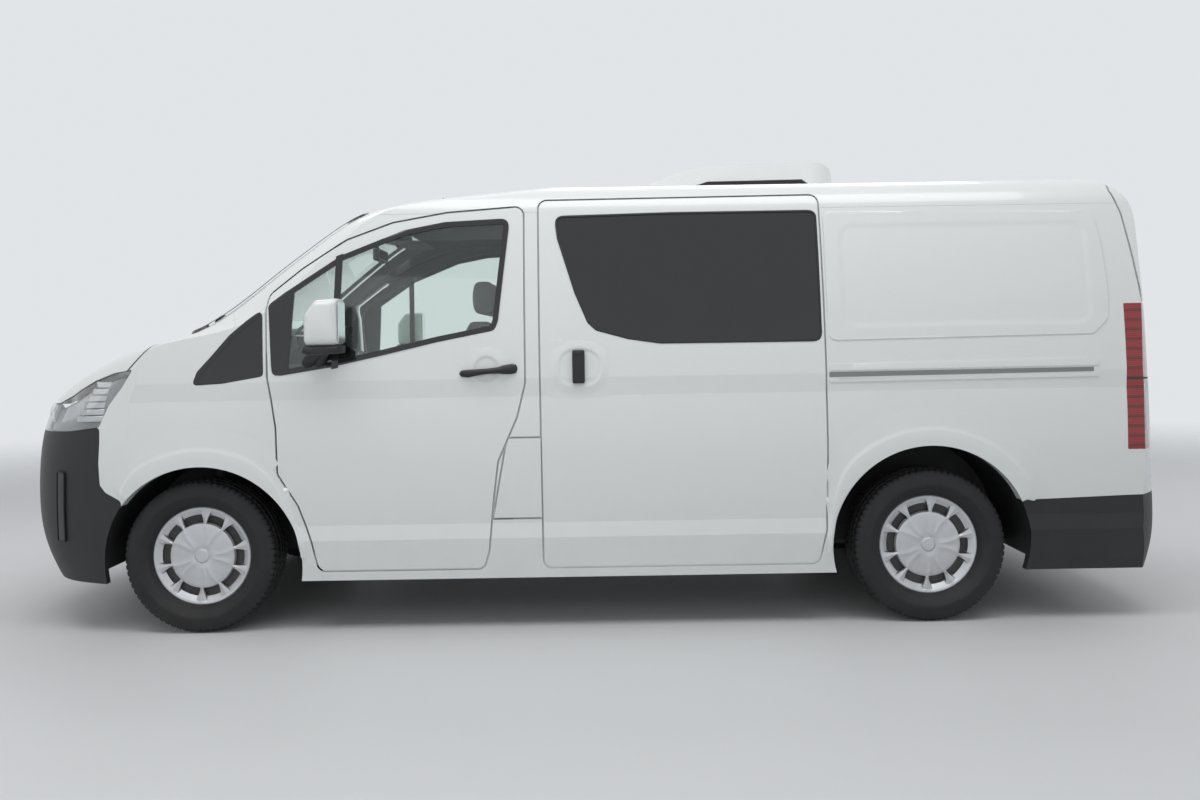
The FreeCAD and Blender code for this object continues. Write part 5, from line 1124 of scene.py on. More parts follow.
@dataclass
class SidePressings:
    """Quarter panel, slide rail with painted shade in its slot, wheel arch lips and handle bowls of the body sides.
    """

    quarter: Sequence[Flat] = flat_mm([(1106, 1244), (2262, 1256), (2330, 1320), (2336, 1440), (2324, 1640),
                                       (2300, 1800), (1106, 1816)])
    emboss: tuple[Flat, Flat] = ((1.173, 1.303), (2.262, 1.754))
    quarter_lift: float = 0.0042
    emboss_depth: float = 0.0030
    rails: Sequence[Sequence[Flat]] = (
        flat_mm([(1106, 1112), (2278, 1118), (2278, 1150), (1106, 1140)]),
        flat_mm([(1106, 1062), (2278, 1070), (2278, 1088), (1106, 1080)]))
    # Outline of the painted shade in the slide rail's slot.
    rail_slot: Sequence[Flat] = flat_mm([(1106, 1083), (2256, 1091), (2256, 1110), (1106, 1105)])
    arch_edge: float = 0.4345
    arch_reach: Sequence[Flat] = ((0.0, 0.0095), (0.030, 0.0100), (0.064, 0.0102), (0.070, 0.0090), (0.078, 0.0046),
                                  (0.088, 0.0036), (0.120, 0.0022), (0.165, 0.0004))
    arch_steps: int = 72
    lip_thickness: float = 0.0075
    bowl_outline: Sequence[Flat] = flat_mm([(-126, 1010), (168, 1010), (168, 1246), (20, 1262), (-126, 1270)])
    bowl: tuple[Flat, Flat] = ((-0.072, 1.064), (0.113, 1.222))
    bowl_depth: float = 0.0042
    cup: Flat = (-0.384, 1.141)
    cup_size: Flat = (0.054, 0.058)
    cup_reach: float = 0.115

    def quarter_height(self, a: float, b: float) -> float:
        """Height of the quarter panel over the body, with its sunk field."""
        inside = depth_in(a, b, *self.emboss, 0.062)
        return self.quarter_lift - self.emboss_depth * ease((inside + 0.002) / 0.014)

    def dish_height(self, inside: float, spread: float, wall: float) -> float:
        """Height of a sunk dish and the soft rise round it.

        Args:
            inside: distance inside the dish's edge.
            spread: width of the rise outside it.
            wall: width of its wall.

        Returns:
            The height over the body.
        """
        rise = ease(1 - max(0.0, -inside) / spread)
        return 0.0002 + self.bowl_depth * rise * (1 - ease((inside + 0.002) / wall))

    def bowl_height(self, a: float, b: float) -> float:
        """Height of the sliding door's handle bowl."""
        return self.dish_height(depth_in(a, b, *self.bowl, 0.068), 0.046, 0.012)

    def cup_height(self, a: float, b: float) -> float:
        """Height of the front door's handle cup."""
        away = math.hypot((a - self.cup[0]) / self.cup_size[0], (b - self.cup[1]) / self.cup_size[1]) - 1
        return self.dish_height(-away * self.cup_size[0], 0.050, 0.011)

    def arch(self, skin: Skin, facing: Facing, centre: Flat, angles: Flat, limit: Callable[[float], float]) -> Mesher:
        """Makes the raised lip of a wheel arch.

        Args:
            skin: surface that carries it.
            facing: side of the van that is seen.
            centre: centre of the arch.
            angles: first and last angle from the front, in degrees.
            limit: share of its full reach by angle, in degrees.

        Returns:
            The mesher with the lip.
        """
        rows = []
        for reach, _ in self.arch_reach:
            row = []
            for k in range(self.arch_steps + 1):
                angle = angles[0] + (angles[1] - angles[0]) * k / self.arch_steps
                radius = self.arch_edge + reach * limit(angle)
                turn = math.radians(angle)
                row.append((centre[0] - radius * math.cos(turn), centre[1] + radius * math.sin(turn)))
            rows.append(row)
        return lay_sheet(skin, facing, rows, [height for _, height in self.arch_reach], self.lip_thickness)

    @staticmethod
    def rear_reach(angle: float) -> float:
        """Share of the rear lip's reach: slim beside the sliding door and above the bumper."""
        return 0.12 + 0.88 * ease((angle - 8) / 42) * (0.35 + 0.65 * ease((172 - angle) / 30))

    @staticmethod
    def front_reach(angle: float) -> float:
        """Share of the front lip's reach: slim at the bumper and beside the door."""
        return (0.25 + 0.75 * ease((angle - 30) / 30)) * (0.12 + 0.88 * ease((158 - angle) / 45))

    def build(self) -> None:
        """Makes the pressings of both sides."""
        for side in Side:
            facing, door = side.facing, f"front_door_{side.tag}"
            skin = Skin(f"body_side_{side.tag}")
            quarter = lay_patch(Mesher(), skin, facing, rounded(self.quarter, 0.045), self.quarter_height, 0.0045,
                                0.010, calm=14)
            quarter.piece(f"quarter_panel_{side.tag}", ROOT, Slot.PAINT, "plain paint", 40.0)
            rail = Mesher()
            for outline in self.rails:
                lay_patch(rail, skin, facing, rounded(outline, 0.006), 0.0045, 0.005, 0.03, calm=8)
            rail.piece(f"rail_cover_{side.tag}", ROOT, Slot.PAINT, "plain paint", 40.0)
            # Thin grey sheet over the rail slot: painted shade of the recessed channel, not a real darker paint.
            slot = lay_patch(Mesher(), skin, facing, rounded(self.rail_slot, 0.004), 0.0008, 0.002, 0.05)
            slot.piece(f"rail_slot_{side.tag}", ROOT, Slot.PAINT, "rail channel")
            rear = self.arch(skin, facing, (1.543, 0.345), (-4.0, 157.0), self.rear_reach)
            rear.piece(f"rear_arch_lip_{side.tag}", ROOT, Slot.PAINT, "plain paint", 40.0)
            front = self.arch(Skin(f"fender_{side.tag}"), facing, (-1.640, 0.303), (43.0, 176.0), self.front_reach)
            front.piece(f"front_arch_lip_{side.tag}", ROOT, Slot.PAINT, "plain paint", 40.0)
            bowl = lay_patch(Mesher(), Skin("sliding_doors"), facing, rounded(self.bowl_outline, 0.05),
                             self.bowl_height, 0.002, 0.006, calm=20)
            bowl.piece(f"slide_bowl_{side.tag}", ROOT, Slot.PAINT, "plain paint", 50.0)
            low, high = self.cup[0] - self.cup_reach, self.cup[0] + self.cup_reach
            outline = rounded([(low, 1.030), (high, 1.030), (high, 1.252), (low, 1.222)], 0.07)
            cup = lay_patch(Mesher(), Skin(door), facing, outline, self.cup_height, 0.002, 0.006, calm=20)
            cup.piece(f"handle_cup_{side.tag}", door, Slot.PAINT, "plain paint", 50.0)


@dataclass
class DoorFittings:
    """Door mirrors, pull handles and the sliding doors' upright grips."""

    cap: Sequence[Flat] = flat_mm([(-1141, 1254), (-1139, 1386), (-1090, 1450), (-1000, 1455), (-991, 1448),
                                   (-989, 1254)])
    cap_rows: Sequence[Flat] = ((0.994, 0.030), (0.996, 0.014), (1.003, 0.005), (1.015, 0.0), (1.096, 0.0),
                                (1.112, 0.003), (1.124, 0.009), (1.133, 0.018), (1.138, 0.032))
    foot: Sequence[Flat] = flat_mm([(-1150, 1226), (-1141, 1256), (-989, 1256), (-991, 1222), (-1120, 1214)])
    foot_rows: Sequence[Flat] = ((0.986, 0.012), (0.988, 0.004), (0.994, 0.0), (1.110, 0.0), (1.122, 0.003),
                                 (1.128, 0.010))
    arm_heights: Sequence[float] = (1.176, 1.196, 1.218, 1.234)
    grip: Sequence[tuple[float, float, float, float]] = (
        (-0.502, 1.124, 0.004, 0.008), (-0.492, 1.124, 0.014, 0.017), (-0.462, 1.124, 0.017, 0.026),
        (-0.425, 1.129, 0.014, 0.032), (-0.380, 1.133, 0.012, 0.035), (-0.335, 1.136, 0.014, 0.033),
        (-0.305, 1.139, 0.020, 0.028), (-0.275, 1.141, 0.022, 0.022), (-0.256, 1.142, 0.018, 0.015),
        (-0.250, 1.142, 0.006, 0.008))
    grip_sides: int = 20
    grip_sink: float = 0.002

    def shell(self, side: Side, outline: Sequence[Flat], bend: float, rows: Sequence[Flat]) -> Mesher:
        """Makes a rounded housing from outlines drawn in at its ends.

        Args:
            side: side of the van.
            outline: widest outline, as X and Z.
            bend: radius of the outline's corners.
            rows: distance out and draw-in of each outline.

        Returns:
            The mesher with the housing.
        """
        full = rounded(outline, bend, 0.02, 6)
        spans = [(min(point[k] for point in full), max(point[k] for point in full)) for k in range(2)]
        middle = [(low + high) / 2 for low, high in spans]
        half = [(high - low) / 2 for low, high in spans]
        mesher = Mesher()
        mesher.bar([[side.at(middle[0] + (a - middle[0]) * (1 - inset / half[0]), out,
                             middle[1] + (b - middle[1]) * (1 - inset / half[1])) for a, b in full]
                    for out, inset in rows])
        return mesher

    def handle(self, mesher: Mesher, side: Side, skin: Skin) -> None:
        """Adds the pull handle: two lobes joined by a slimmer grip."""
        rings = []
        for x, z, half, out in self.grip:
            place, _ = skin.outer(side.facing, x, z)
            rings.append([Vector((x, place.y + side.value * max(-self.grip_sink,
                                                                out * (0.5 + 0.5 * sin) - self.grip_sink),
                                  z + half * cos)) for cos, sin in turns(self.grip_sides)])
        mesher.bar(rings)

    def mirror(self, side: Side, door: str) -> None:
        """Adds the mirror with its foot, and the pull handle."""
        cap = self.shell(side, self.cap, 0.030, self.cap_rows)
        cap.piece(f"mirror_cap_{side.tag}", door, Slot.PAINT, "plain paint", 50.0)
        foot = self.shell(side, self.foot, 0.008, self.foot_rows)
        for start, xs, radii in ((0.948, (-1.168, -1.150, -1.120, -1.080), (0.026, 0.026, 0.022, 0.016)),
                                 (0.952, (-1.120, -1.105, -1.085, -1.060), (0.024, 0.024, 0.020, 0.014))):
            outs = (start, 0.968, 0.996, 1.030)
            foot.tube([side.at(*place) for place in zip(xs, outs, self.arm_heights)], radii, 16)
        self.handle(foot, side, Skin(door))
        foot.piece(f"door_fittings_black_{side.tag}", door, Slot.TRIM, "bumper", 40.0,
                   [f"door_fittings_{side.tag}"])
        pane = Mesher()
        pane.side_block(side, (-0.9895, 1.010, 1.268), (-0.9865, 1.124, 1.440), 0.0012, 1)
        pane.piece(f"mirror_glass_{side.tag}", door, Slot.STEEL, "bright")

    def build(self) -> None:
        """Makes the fittings of both sides."""
        for side in Side:
            self.mirror(side, f"front_door_{side.tag}")
            grip = Mesher()
            out = abs(Skin("sliding_doors").outer(side.facing, 0.02, 1.15)[0].y)
            grip.side_block(side, (-0.011, out - 0.004, 1.074), (0.043, out + 0.022, 1.219), 0.008, 4)
            grip.side_block(side, (-0.002, out + 0.018, 1.196), (0.034, out + 0.0235, 1.210), 0.002)
            grip.piece(f"slide_grip_{side.tag}", ROOT, Slot.TRIM, "bumper", 40.0,
                       ["slide_handles"] if side is Side.RIGHT else ())


@dataclass
class Lamps:
    """Headlamps with their reflectors, and the tail lamps' clear parts."""

    lens_thickness: float = 0.0030
    bowl_inset: float = 0.030
    bowl_thickness: float = 0.004
    outward: tuple[float, float, float] = (-0.62, 0.72, 0.30)
    least_facing: float = 0.30
    plates: int = 6
    plate_low: float = 0.935
    plate_rise: float = 0.030
    plate_gap: float = 0.0045
    globe: Flat = (0.660, 0.965)
    globe_depth: float = 0.016
    tail_clear: Sequence[Flat] = flat_mm([(2478, 828), (2503, 828), (2497, 1046), (2474, 1046)])
    tail_line: Sequence[Flat] = flat_mm([(2403, 1054), (2501, 1054), (2501, 1062), (2403, 1062)])

    def shell(self, side: Side, offset: float, thickness: float) -> Mesher:
        """Outward faces of the headlamp solid, set in and given a thickness.

        Args:
            side: side of the van.
            offset: distance inward of the outer face.
            thickness: thickness of the shell.

        Returns:
            The closed shell.
        """
        ahead = side.at(*self.outward).normalized()
        shape = bmesh.new()
        shape.from_mesh(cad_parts["headlamps"].data)
        bmesh.ops.remove_doubles(shape, verts=shape.verts, dist=0.00005)
        shape.normal_update()
        gone = [face for face in shape.faces if face.normal.dot(ahead) < self.least_facing
                or face.calc_center_median().y * side.value < 0]
        bmesh.ops.delete(shape, geom=gone, context="FACES")
        shape.normal_update()
        for vert in shape.verts:
            vert.co -= vert.normal * offset
        ways = {vert: vert.normal.copy() for vert in shape.verts}
        for vert in grown_verts(bmesh.ops.extrude_face_region(shape, geom=shape.faces[:])):
            near = min(ways, key=lambda other: (other.co - vert.co).length_squared) if vert not in ways else vert
            vert.co -= ways[near] * thickness
        return Mesher().take(shape)

    def build(self) -> None:
        """Makes the lamps of both sides."""
        for side in Side:
            lens = self.shell(side, 0.0, self.lens_thickness)
            lens.piece(f"headlamp_lens_{side.tag}", ROOT, Slot.LAMP, "lens", 40.0,
                       ["headlamps"] if side is Side.RIGHT else ())
            bowl = self.shell(side, self.bowl_inset, self.bowl_thickness)
            bowl.piece(f"headlamp_bowl_{side.tag}", ROOT, Slot.SILVER, "lamp bowl", 40.0)
            self.fins(side)
            skin = Skin("tail_lamps")
            clear = lay_patch(Mesher(), skin, side.facing, rounded(self.tail_clear, 0.006), 0.0022, 0.003)
            clear.piece(f"tail_lamp_clear_{side.tag}", ROOT, Slot.LAMP, "lamp globe")
            line = lay_patch(Mesher(), skin, side.facing, rounded(self.tail_line, 0.002), 0.0012, 0.002)
            line.piece(f"tail_lamp_line_{side.tag}", ROOT, Slot.TRIM, "gloss trim")

    def fins(self, side: Side) -> None:
        """Adds the lamp's reflector plates and its round lamp, behind the lens."""
        fins = Mesher()
        for k in range(self.plates):
            z = self.plate_low + self.plate_rise * k
            fins.side_block(side, (-2.205 + 0.018 * k, 0.790, z),
                            (-2.060 + 0.020 * k, 0.898 - 0.002 * k, z + self.plate_rise - self.plate_gap), 0.002, 1)
        fins.piece(f"headlamp_fins_{side.tag}", ROOT, Slot.SILVER, "reflector", 40.0)
        lamp = Mesher()
        place, _ = Skin("headlamps").outer(Facing.NOSE, side.value * self.globe[0], self.globe[1])
        for radius, back in ((0.050, 0.030), (0.040, 0.022)):
            lamp.tube([place + Vector((back + self.globe_depth, 0, 0)), place + Vector((back, 0, 0))], radius, 32)
        lamp.piece(f"headlamp_round_{side.tag}", ROOT, Slot.LAMP, "lamp globe", 30.0)


@dataclass
class RoofUnit:
    """Louvres of the roof cooling unit, and the roof's stub aerial."""

    louvre: Sequence[Flat] = flat_mm([(543, 1993), (648, 2026), (1108, 2030), (1160, 1994)])
    slats: int = 4
    slat_steps: int = 24
    slat_lift: float = 0.0035
    slat_radius: float = 0.0022
    aerial: Sequence[Flat] = ((0.024, 1.9585), (0.020, 1.968), (0.010, 1.974), (0.006, 1.990), (0.0045, 2.020),
                              (0.001, 2.022))

    def build(self) -> None:
        """Makes the unit's details."""
        skin = Skin("cooling_unit")
        panel, slats = Mesher(), Mesher()
        for side in Side:
            lay_patch(panel, skin, side.facing, rounded(self.louvre, 0.008), 0.0012, 0.002, 0.03)
            for k in range(self.slats):
                share = (k + 0.6) / self.slats
                start, end, z = 0.560 + 0.095 * share, 1.150 - 0.042 * share, 1.993 + 0.033 * share
                found = [skin.outer(side.facing, start + (end - start) * step / self.slat_steps, z)
                         for step in range(self.slat_steps + 1)]
                slats.tube([place + way * self.slat_lift for place, way in found], self.slat_radius, 6)
        panel.piece("unit_louvre_panels", ROOT, Slot.TRIM, "gloss trim")
        slats.piece("unit_louvre_slats", ROOT, Slot.TRIM, "bumper")
        aerial = Mesher()
        aerial.lathe_up(Vector((-0.700, 0.0, 0.0)), self.aerial, 24)
        aerial.piece("roof_aerial", ROOT, Slot.TRIM, "bumper", 30.0)


@dataclass
class Ends:
    """Blank number plates, the load sill and the bumper's upright slots."""

    plate: Flat = (0.186, 0.067)
    sill_front: float = 2.4535
    sill_half: float = 0.800
    sill_up: Flat = (0.5440, 0.5520)
    sill_gap: float = 0.0015
    sill_steps: int = 32
    ribs: int = 4
    rib_from: float = 0.014
    rib_pitch: float = 0.011
    rib_inset: float = 0.02
    slot: Sequence[Flat] = flat_mm([(-2326, 398), (-2276, 402), (-2270, 712), (-2318, 718)])

    def sill(self) -> None:
        """Adds the ribbed plate between the load floor and the rear bumper."""
        skin = Skin("rear_bumper")
        sill = Mesher()
        low, high = self.sill_up
        rows = []
        for k in range(self.sill_steps + 1):
            y = self.sill_half * (k / (self.sill_steps / 2) - 1)
            _, back, _ = skin.meet(Vector((self.sill_front + 0.02, y, high)), Vector((1, 0, 0)))
            end = back.x - self.sill_gap
            rows.append([Vector((x, y, z)) for x, z in ((self.sill_front, low), (self.sill_front, high), (end, high),
                                                        (end, low))])
        sill.bar(rows)
        across = self.sill_half - self.rib_inset
        for k in range(self.ribs):
            x = self.sill_front + self.rib_from + self.rib_pitch * k
            sill.tube([(x, -across, high), (x, across, high)], 0.0022, 8)
        sill.piece("load_sill", ROOT, Slot.TRIM, "bumper", 30.0)

    def build(self) -> None:
        """Makes the trim of both ends."""
        self.sill()
        wide, high = self.plate
        for name, node, facing, z, lift, step, calm, body in (
                ("front_plate", "front_bumper", Facing.NOSE, 0.378, 0.0014, 0.02, 1, ROOT),
                ("rear_plate", "tailgate", Facing.TAIL, 0.830, 0.006, 0.06, 30, "tailgate")):
            outline = rounded([(-wide, z - high), (wide, z - high), (wide, z + high), (-wide, z + high)], 0.008)
            plate = lay_patch(Mesher(), Skin(node), facing, outline, lift, 0.0045, step, calm=calm)
            plate.piece(name, body, Slot.SILVER, "plate")
        skin, outline = Skin("front_bumper"), rounded(self.slot, 0.012)
        for side in Side:
            slot = lay_patch(Mesher(), skin, side.facing, outline, 0.0010, 0.002, 0.02)
            slot.piece(f"bumper_slot_{side.tag}", ROOT, Slot.TRIM, "gloss trim")
            rim = lay_strip(skin, side.facing, outline, 0.007, 0.0045, 0.005)
            rim.piece(f"bumper_slot_rim_{side.tag}", ROOT, Slot.TRIM, "bumper")


@dataclass
class Cab:
    """Dashboard fittings, linings, belts and small controls of the cab."""

    dash_face: float = -1.2510
    door_face: float = 0.9050
    wheel_y: float = 0.400
    hood_low: float = 1.040
    hood_rows: Sequence[tuple[float, float, float]] = (
        (-1.420, 1.098, 0.150), (-1.380, 1.128, 0.168), (-1.300, 1.146, 0.172), (-1.262, 1.146, 0.168),
        (-1.256, 1.136, 0.160))
    hood_steps: int = 24
    vents: Sequence[float] = (-0.780, -0.170, 0.170, 0.780)
    vent_slats: int = 5
    knobs: Sequence[float] = (-0.075, 0.0, 0.075)
    pedals: Sequence[tuple[float, float, float]] = ((0.300, 0.560, 0.030), (0.420, 0.565, 0.032),
                                                    (0.530, 0.555, 0.022))

    def hood(self, mesher: Mesher) -> None:
        """Adds the arched hood over the instruments."""
        low = self.hood_low
        angles = [math.pi * k / self.hood_steps for k in range(self.hood_steps + 1)]
        rows = []
        for x, top, half in self.hood_rows:
            ring = [Vector((x, self.wheel_y + half * math.cos(turn), low + (top - low) * math.sin(turn) ** 0.6))
                    for turn in angles]
            rows.append(ring + [Vector((x, self.wheel_y + half * sign, low - 0.010)) for sign in (-1, 1)])
        mesher.bar(rows)

    def dash(self) -> None:
        """Adds the instrument hood, displays, vents, lids and gear lever."""
        dark, light, shown = Mesher(), Mesher(), Mesher()
        face = self.dash_face
        self.hood(dark)
        for y in self.vents:
            dark.block((face - 0.006, y - 0.062, 0.948), (face + 0.010, y + 0.062, 1.018), 0.006)
            for k in range(self.vent_slats):
                z = 0.958 + 0.0105 * k
                light.block((face + 0.006, y - 0.052, z), (face + 0.013, y + 0.052, z + 0.003), 0.001, 1)
        light.block((face - 0.004, -0.640, 0.800), (face + 0.006, -0.260, 0.925), 0.006)
        dark.block((face + 0.002, -0.490, 0.905), (face + 0.011, -0.410, 0.918), 0.003)
        light.block((face - 0.004, -0.135, 0.775), (face + 0.030, 0.135, 0.870), 0.012)
        dark.tube([(face + 0.020, 0.0, 0.830), (face + 0.085, 0.0, 0.905)], [0.017, 0.008], 16)
        dark.tube([(face + 0.080, 0.0, 0.900), (face + 0.090, 0.0, 0.912), (face + 0.106, 0.0, 0.934),
                   (face + 0.116, 0.0, 0.948)], [0.010, 0.022, 0.024, 0.010], 20)
        for y in self.knobs:
            dark.tube([(face - 0.002, y, 0.910), (face + 0.016, y, 0.910)], 0.020, 24)
        dark.piece("dash_fittings", ROOT, Slot.CAB, "cab", 30.0)
        light.piece("dash_panels", ROOT, Slot.CAB, "cab light", 30.0)
        shown.block((face - 0.004, -0.105, 0.945), (face + 0.008, 0.105, 1.060), 0.005)
        shown.block((-1.290, self.wheel_y - 0.130, 1.045), (-1.257, self.wheel_y + 0.130, 1.118), 0.004)
        shown.piece("dash_displays", ROOT, Slot.DARK, "screen")

    def controls(self) -> None:
        """Adds the pedals, the column and its two stalks."""
        parts = Mesher()
        for y, z, wide in self.pedals:
            parts.tube([(-1.560, y, 0.780), (-1.540, y, 0.680), (-1.470, y, z + 0.010)], 0.008, 10)
            parts.block((-1.478, y - wide, z - 0.030), (-1.462, y + wide, z + 0.030), 0.004)
        y = self.wheel_y
        parts.tube([(-1.300, y, 0.955), (-1.236, y, 1.010)], [0.052, 0.044], 28)
        for sign in (-1, 1):
            parts.tube([(-1.262, y + 0.030 * sign, 0.995), (-1.262, y + 0.120 * sign, 1.010),
                        (-1.256, y + 0.195 * sign, 1.022)], [0.006, 0.007, 0.010], 12)
        parts.piece("cab_controls", ROOT, Slot.CAB, "cab", 30.0)

    def above(self) -> None:
        """Adds the headlining, inside mirror and sun visors."""
        mirror = Mesher()
        mirror.tube([(-1.085, 0.0, 1.8385), (-1.062, 0.0, 1.790), (-1.040, 0.0, 1.745)], [0.020, 0.009, 0.009], 14)
        mirror.block((-1.050, -0.125, 1.690), (-1.018, 0.125, 1.755), 0.012, 4)
        mirror.piece("inside_mirror", ROOT, Slot.CAB, "cab", 30.0)
        pane = Mesher()
        pane.block((-1.0185, -0.115, 1.698), (-1.0165, 0.115, 1.747), 0.0009, 1)
        pane.piece("inside_mirror_glass", ROOT, Slot.STEEL, "bright")
        lining = Mesher()
        for side in Side:
            lining.side_block(side, (-0.985, 0.150, 1.800), (-0.840, 0.560, 1.816), 0.007, 3)
            lining.tube([side.at(-0.985, 0.140, 1.812), side.at(-0.985, 0.130, 1.858)], 0.006, 10)
            lining.tube([side.at(-0.990, 0.148, 1.810), side.at(-0.990, 0.600, 1.810)], 0.007, 12)
        lining.block((-0.940, -0.640, 1.862), (-0.312, 0.640, 1.874), 0.005)
        lining.piece("headlining", ROOT, Slot.CAB, "cab light", 30.0)

    def sides(self) -> None:
        """Adds door panels with their pulls, and the belts."""
        face = self.door_face
        for side in Side:
            door = f"front_door_{side.tag}"
            trim, pull, belt = Mesher(), Mesher(), Mesher()
            trim.side_block(side, (-1.150, face - 0.022, 0.560), (-0.400, face - 0.001, 1.120), 0.010, 3)
            trim.side_block(side, (-0.860, face - 0.075, 0.900), (-0.460, face - 0.012, 0.940), 0.012, 3)
            trim.piece(f"door_panel_{side.tag}", door, Slot.CAB, "cab light", 30.0)
            path = ((-0.960, 0.020, 1.050), (-0.955, 0.050, 1.055), (-0.880, 0.052, 1.060), (-0.872, 0.020, 1.060))
            pull.tube([side.at(x, face - inset, z) for x, inset, z in path], 0.008, 12)
            pull.side_block(side, (-1.120, face - 0.026, 0.600), (-0.520, face - 0.018, 0.680), 0.003)
            pull.piece(f"door_pull_{side.tag}", door, Slot.CAB, "cab", 30.0)
            for low, high in ((1.300, 1.560), (0.520, 1.300)):
                belt.side_block(side, (-0.306, 0.735, low), (-0.303, 0.783, high), 0.0006, 1)
            belt.side_block(side, (-0.318, 0.728, 1.548), (-0.301, 0.790, 1.580), 0.004)
            belt.side_block(side, (-0.340, 0.720, 0.440), (-0.301, 0.798, 0.530), 0.006)
            belt.piece(f"belt_{side.tag}", ROOT, Slot.CAB, "belt")

    def build(self) -> None:
        """Makes the cab's fittings."""
        self.dash()
        self.controls()
        self.above()
        self.sides()


def limits_of(item: bpy.types.Object) -> tuple[Vector, Vector]:
    """Lowest and highest corner of an object's mesh."""
    points = [vert.co for vert in item.data.vertices]
    return (Vector(min(point[k] for point in points) for k in range(3)),
            Vector(max(point[k] for point in points) for k in range(3)))


def middle_of(item: bpy.types.Object) -> Vector:
    """Middle of an object's box."""
    low, high = limits_of(item)
    return (low + high) / 2


@dataclass
class Seats:
    """Padded seats, swollen by a pressure simulation inside their packed space."""

    voxel: float = 0.011
    shrink: float = 0.010
    cap: float = 0.024
    frames: int = 20
    pressure: float = 4.0
    stiffness: float = 22.0
    channel_depth: float = 0.006
    channel_half: float = 0.007
    channel_out: float = 0.31
    full_size: float = 0.30

    def pads(self) -> list[bpy.types.Object]:
        """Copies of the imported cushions, one for each solid."""
        shape = bmesh.new()
        shape.from_mesh(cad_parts["seat_cushions"].data)
        bmesh.ops.remove_doubles(shape, verts=shape.verts, dist=0.0002)
        left = set(shape.verts)
        pads = []
        while left:
            stack = [left.pop()]
            part = set(stack)
            while stack:
                for edge in stack.pop().link_edges:
                    for vert in edge.verts:
                        if vert in left:
                            left.discard(vert)
                            part.add(vert)
                            stack.append(vert)
            verts = sorted(part, key=lambda vert: vert.index)
            index = {vert: k for k, vert in enumerate(verts)}
            faces = [[index[vert] for vert in face.verts] for face in shape.faces if face.verts[0] in part]
            mesh = bpy.data.meshes.new("pad")
            mesh.from_pydata([vert.co for vert in verts], [], faces)
            pads.append(placed("pad", mesh))
        shape.free()
        pads.sort(key=lambda item: tuple(round(value, 3) for value in middle_of(item)))
        return pads

    def swell(self, item: bpy.types.Object) -> None:
        """Fills a pad under pressure and keeps each point within the cap."""
        shape = bmesh.new()
        shape.from_mesh(item.data)
        bmesh.ops.recalc_face_normals(shape, faces=shape.faces)
        shape.to_mesh(item.data)
        shape.free()
        centre = middle_of(item)
        size = Vector(item.dimensions)
        for vert in item.data.vertices:
            for axis in range(3):
                scale = 1 - 2 * self.shrink / max(size[axis], 0.05)
                vert.co[axis] = centre[axis] + (vert.co[axis] - centre[axis]) * scale
        item.data.remesh_voxel_size = self.voxel
        bpy.context.view_layer.objects.active = item
        bpy.ops.object.voxel_remesh()
        start = [vert.co.copy() for vert in item.data.vertices]
        cloth = item.modifiers.new("fill", "CLOTH")
        cloth.settings.use_pressure = True
        cloth.settings.uniform_pressure_force = self.pressure
        cloth.settings.effector_weights.gravity = 0.0
        cloth.settings.quality = 5
        cloth.settings.tension_stiffness = cloth.settings.compression_stiffness = self.stiffness
        cloth.point_cache.frame_start, cloth.point_cache.frame_end = 1, self.frames
        for number in range(1, self.frames + 1):
            bpy.context.scene.frame_set(number)
        shown = item.evaluated_get(bpy.context.evaluated_depsgraph_get())
        ends = [vert.co.copy() for vert in shown.data.vertices]
        item.modifiers.remove(cloth)
        for vert, first, last in zip(item.data.vertices, start, ends):
            move = last - first
            if move.length > self.cap:
                move *= self.cap / move.length
            vert.co = first + move
        bpy.context.scene.frame_set(1)

    def channels(self, item: bpy.types.Object) -> None:
        """Presses the sewn channels into the facing side of a pad."""
        low, high = limits_of(item)
        middle = (low + high) / 2
        wide = high.y - low.y
        upright = high.z - low.z > self.full_size
        along = 2 if upright else 0
        for vert in item.data.vertices:
            y = abs(vert.co.y - middle.y)
            side_line = math.exp(-((y - wide * self.channel_out) / self.channel_half) ** 2)
            cross = math.exp(-((vert.co[along] - middle[along]) / self.channel_half) ** 2)
            cross *= 1 - ease((y - wide * 0.28) / 0.02)
            if (-vert.normal.x if upright else vert.normal.z) > 0.35:
                vert.co -= vert.normal * (self.channel_depth * max(side_line, cross))

    def build(self) -> None:
        """Makes the pads."""
        shown = []
        for number, item in enumerate(self.pads()):
            self.swell(item)
            if item.dimensions.y > self.full_size:
                self.channels(item)
            smooth = item.modifiers.new("smooth", "SUBSURF")
            smooth.levels = smooth.render_levels = 1
            graph = bpy.context.evaluated_depsgraph_get()
            mesh = bpy.data.meshes.new_from_object(item.evaluated_get(graph))
            mesh.name = f"seat_pad_{number}"
            mesh.shade_smooth()
            mesh.materials.clear()
            mesh.materials.append(SHOP["cloth"])
            pad = placed(mesh.name, mesh)
            bpy.data.objects.remove(item)
            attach(pad, ROOT)
            shown.append(pad)
            log.info("seat_pad_%d: %d faces", number, len(mesh.polygons))
        if shown:
            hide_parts("seat_cushions")



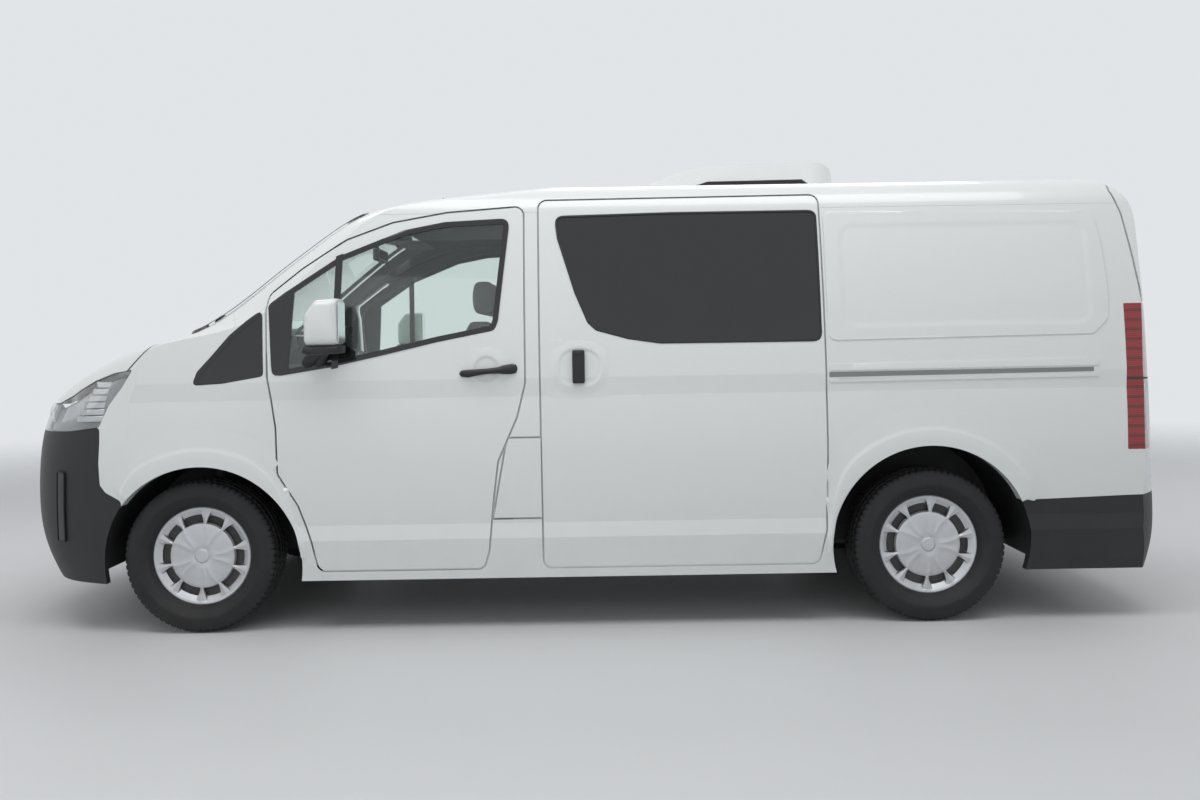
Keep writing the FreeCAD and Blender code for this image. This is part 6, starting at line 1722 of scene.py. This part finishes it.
class Studio:
    """Pale floor, soft lights and the camera of the photograph."""

    floor_colour: Colour = (0.70, 0.71, 0.72)
    floor_reach: float = 60.0
    floor_fade: Flat = (4.5, 13.0)
    sky_colour: Colour = (0.80, 0.82, 0.845)
    lamps: Sequence[tuple] = (
        ("ceiling_near", (0.0, -2.6, 5.2), (0.0, 0.0, 0.8), (7.0, 2.2), 142.0, True),
        ("ceiling_far", (0.0, 2.8, 5.2), (0.0, 0.0, 1.0), (7.0, 2.2), 98.0, True),
        ("side_fill", (-1.5, -7.5, 2.6), (0.0, 0.0, 0.9), (6.0, 3.0), 60.0, False),
        ("nose_fill", (-7.0, -1.5, 2.8), (-2.0, 0.0, 0.9), (3.0, 2.5), 40.0, False),
        ("tail_fill", (7.0, 1.5, 2.8), (2.0, 0.0, 0.9), (3.0, 2.5), 40.0, False))

    def floor(self) -> None:
        """Makes the floor."""
        mesh = bpy.data.meshes.new("studio_floor")
        reach = self.floor_reach
        mesh.from_pydata([(-reach, -reach, 0), (reach, -reach, 0), (reach, reach, 0), (-reach, reach, 0)], [],
                         [(0, 1, 2, 3)])
        look = Look("studio floor")
        place = look.place()
        low = [value * 0.97 for value in self.floor_colour]
        colour = look.blend(look.noise(place, 3.0, 6.0), rgba(low), rgba(self.floor_colour))
        away = look.node("ShaderNodeVectorMath", {0: place}, operation="LENGTH").outputs["Value"]
        look.clear(look.rise(away, *self.floor_fade))
        mesh.materials.append(look.made({"Base Color": colour, "Roughness": 0.55}))
        placed("studio_floor", mesh)

    def lamp(self, name: str, place: Sequence[float], aim: Sequence[float], size: Flat, power: float,
             mirrored: bool) -> None:
        """Adds a rectangular soft lamp.

        Args:
            name: name of the lamp.
            place: its middle.
            aim: point that it shines at.
            size: its two widths.
            power: its power in watts.
            mirrored: shows in gloss.
        """
        data = bpy.data.lights.new(name, "AREA")
        data.shape = "RECTANGLE"
        data.size, data.size_y = size
        data.energy = power
        item = placed(name, data)
        item.location = place
        item.rotation_euler = (Vector(aim) - Vector(place)).to_track_quat("-Z", "Y").to_euler()
        item.visible_glossy = mirrored

    def sky(self) -> None:
        """Sets a soft sky that the camera, glass and metal see as pale."""
        world = bpy.context.scene.world or bpy.data.worlds.new("studio sky")
        bpy.context.scene.world = world
        world.use_nodes = True
        graph = Graph(world.node_tree)
        world.node_tree.nodes.clear()
        rays = graph.node("ShaderNodeLightPath")
        seen = graph.math("MAXIMUM", rays.outputs["Is Camera Ray"], rays.outputs["Is Glossy Ray"])
        seen = graph.math("MAXIMUM", seen, rays.outputs["Is Transmission Ray"])
        plain, pale = (graph.node("ShaderNodeBackground", {"Color": rgba(self.sky_colour), "Strength": strength})
                       for strength in (0.42, 0.95))
        mixed = graph.node("ShaderNodeMixShader", {0: seen, 1: plain.outputs[0], 2: pale.outputs[0]})
        graph.node("ShaderNodeOutputWorld", {0: mixed.outputs[0]})

    def camera(self) -> None:
        """Sets the camera of the photograph."""
        data = bpy.data.cameras.new("view")
        data.lens = 31.95
        data.sensor_width = 36.0
        data.shift_x = 0.0008
        data.shift_y = -0.0487
        item = placed("view", data)
        item.location = (0.107, -5.600, 1.254)
        item.rotation_euler = (math.pi / 2, 0.0162, 0.0)
        bpy.context.scene.camera = item

    def build(self) -> None:
        """Makes floor, sky, lamps and camera."""
        self.floor()
        self.sky()
        for lamp in self.lamps:
            self.lamp(*lamp)
        self.camera()
        bpy.context.scene.view_settings.view_transform = "Standard"


def main() -> None:
    """Builds the dressed van."""
    logging.basicConfig(level=logging.INFO, format="%(message)s")
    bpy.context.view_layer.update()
    SHOP.dress_nodes()
    Studio().build()
    for axle, axle_x in (("front", FRONT_AXLE_X), ("rear", REAR_AXLE_X)):
        for side in Side:
            Tyre().build(axle, axle_x, side)
            Wheel().build(axle, axle_x, side)
    for part in (SidePressings(), Glazing(), DoorFittings(), Lamps(), RoofUnit(), Ends(), Cab(), Seats()):
        part.build()


if __name__ == "__main__":
    main()
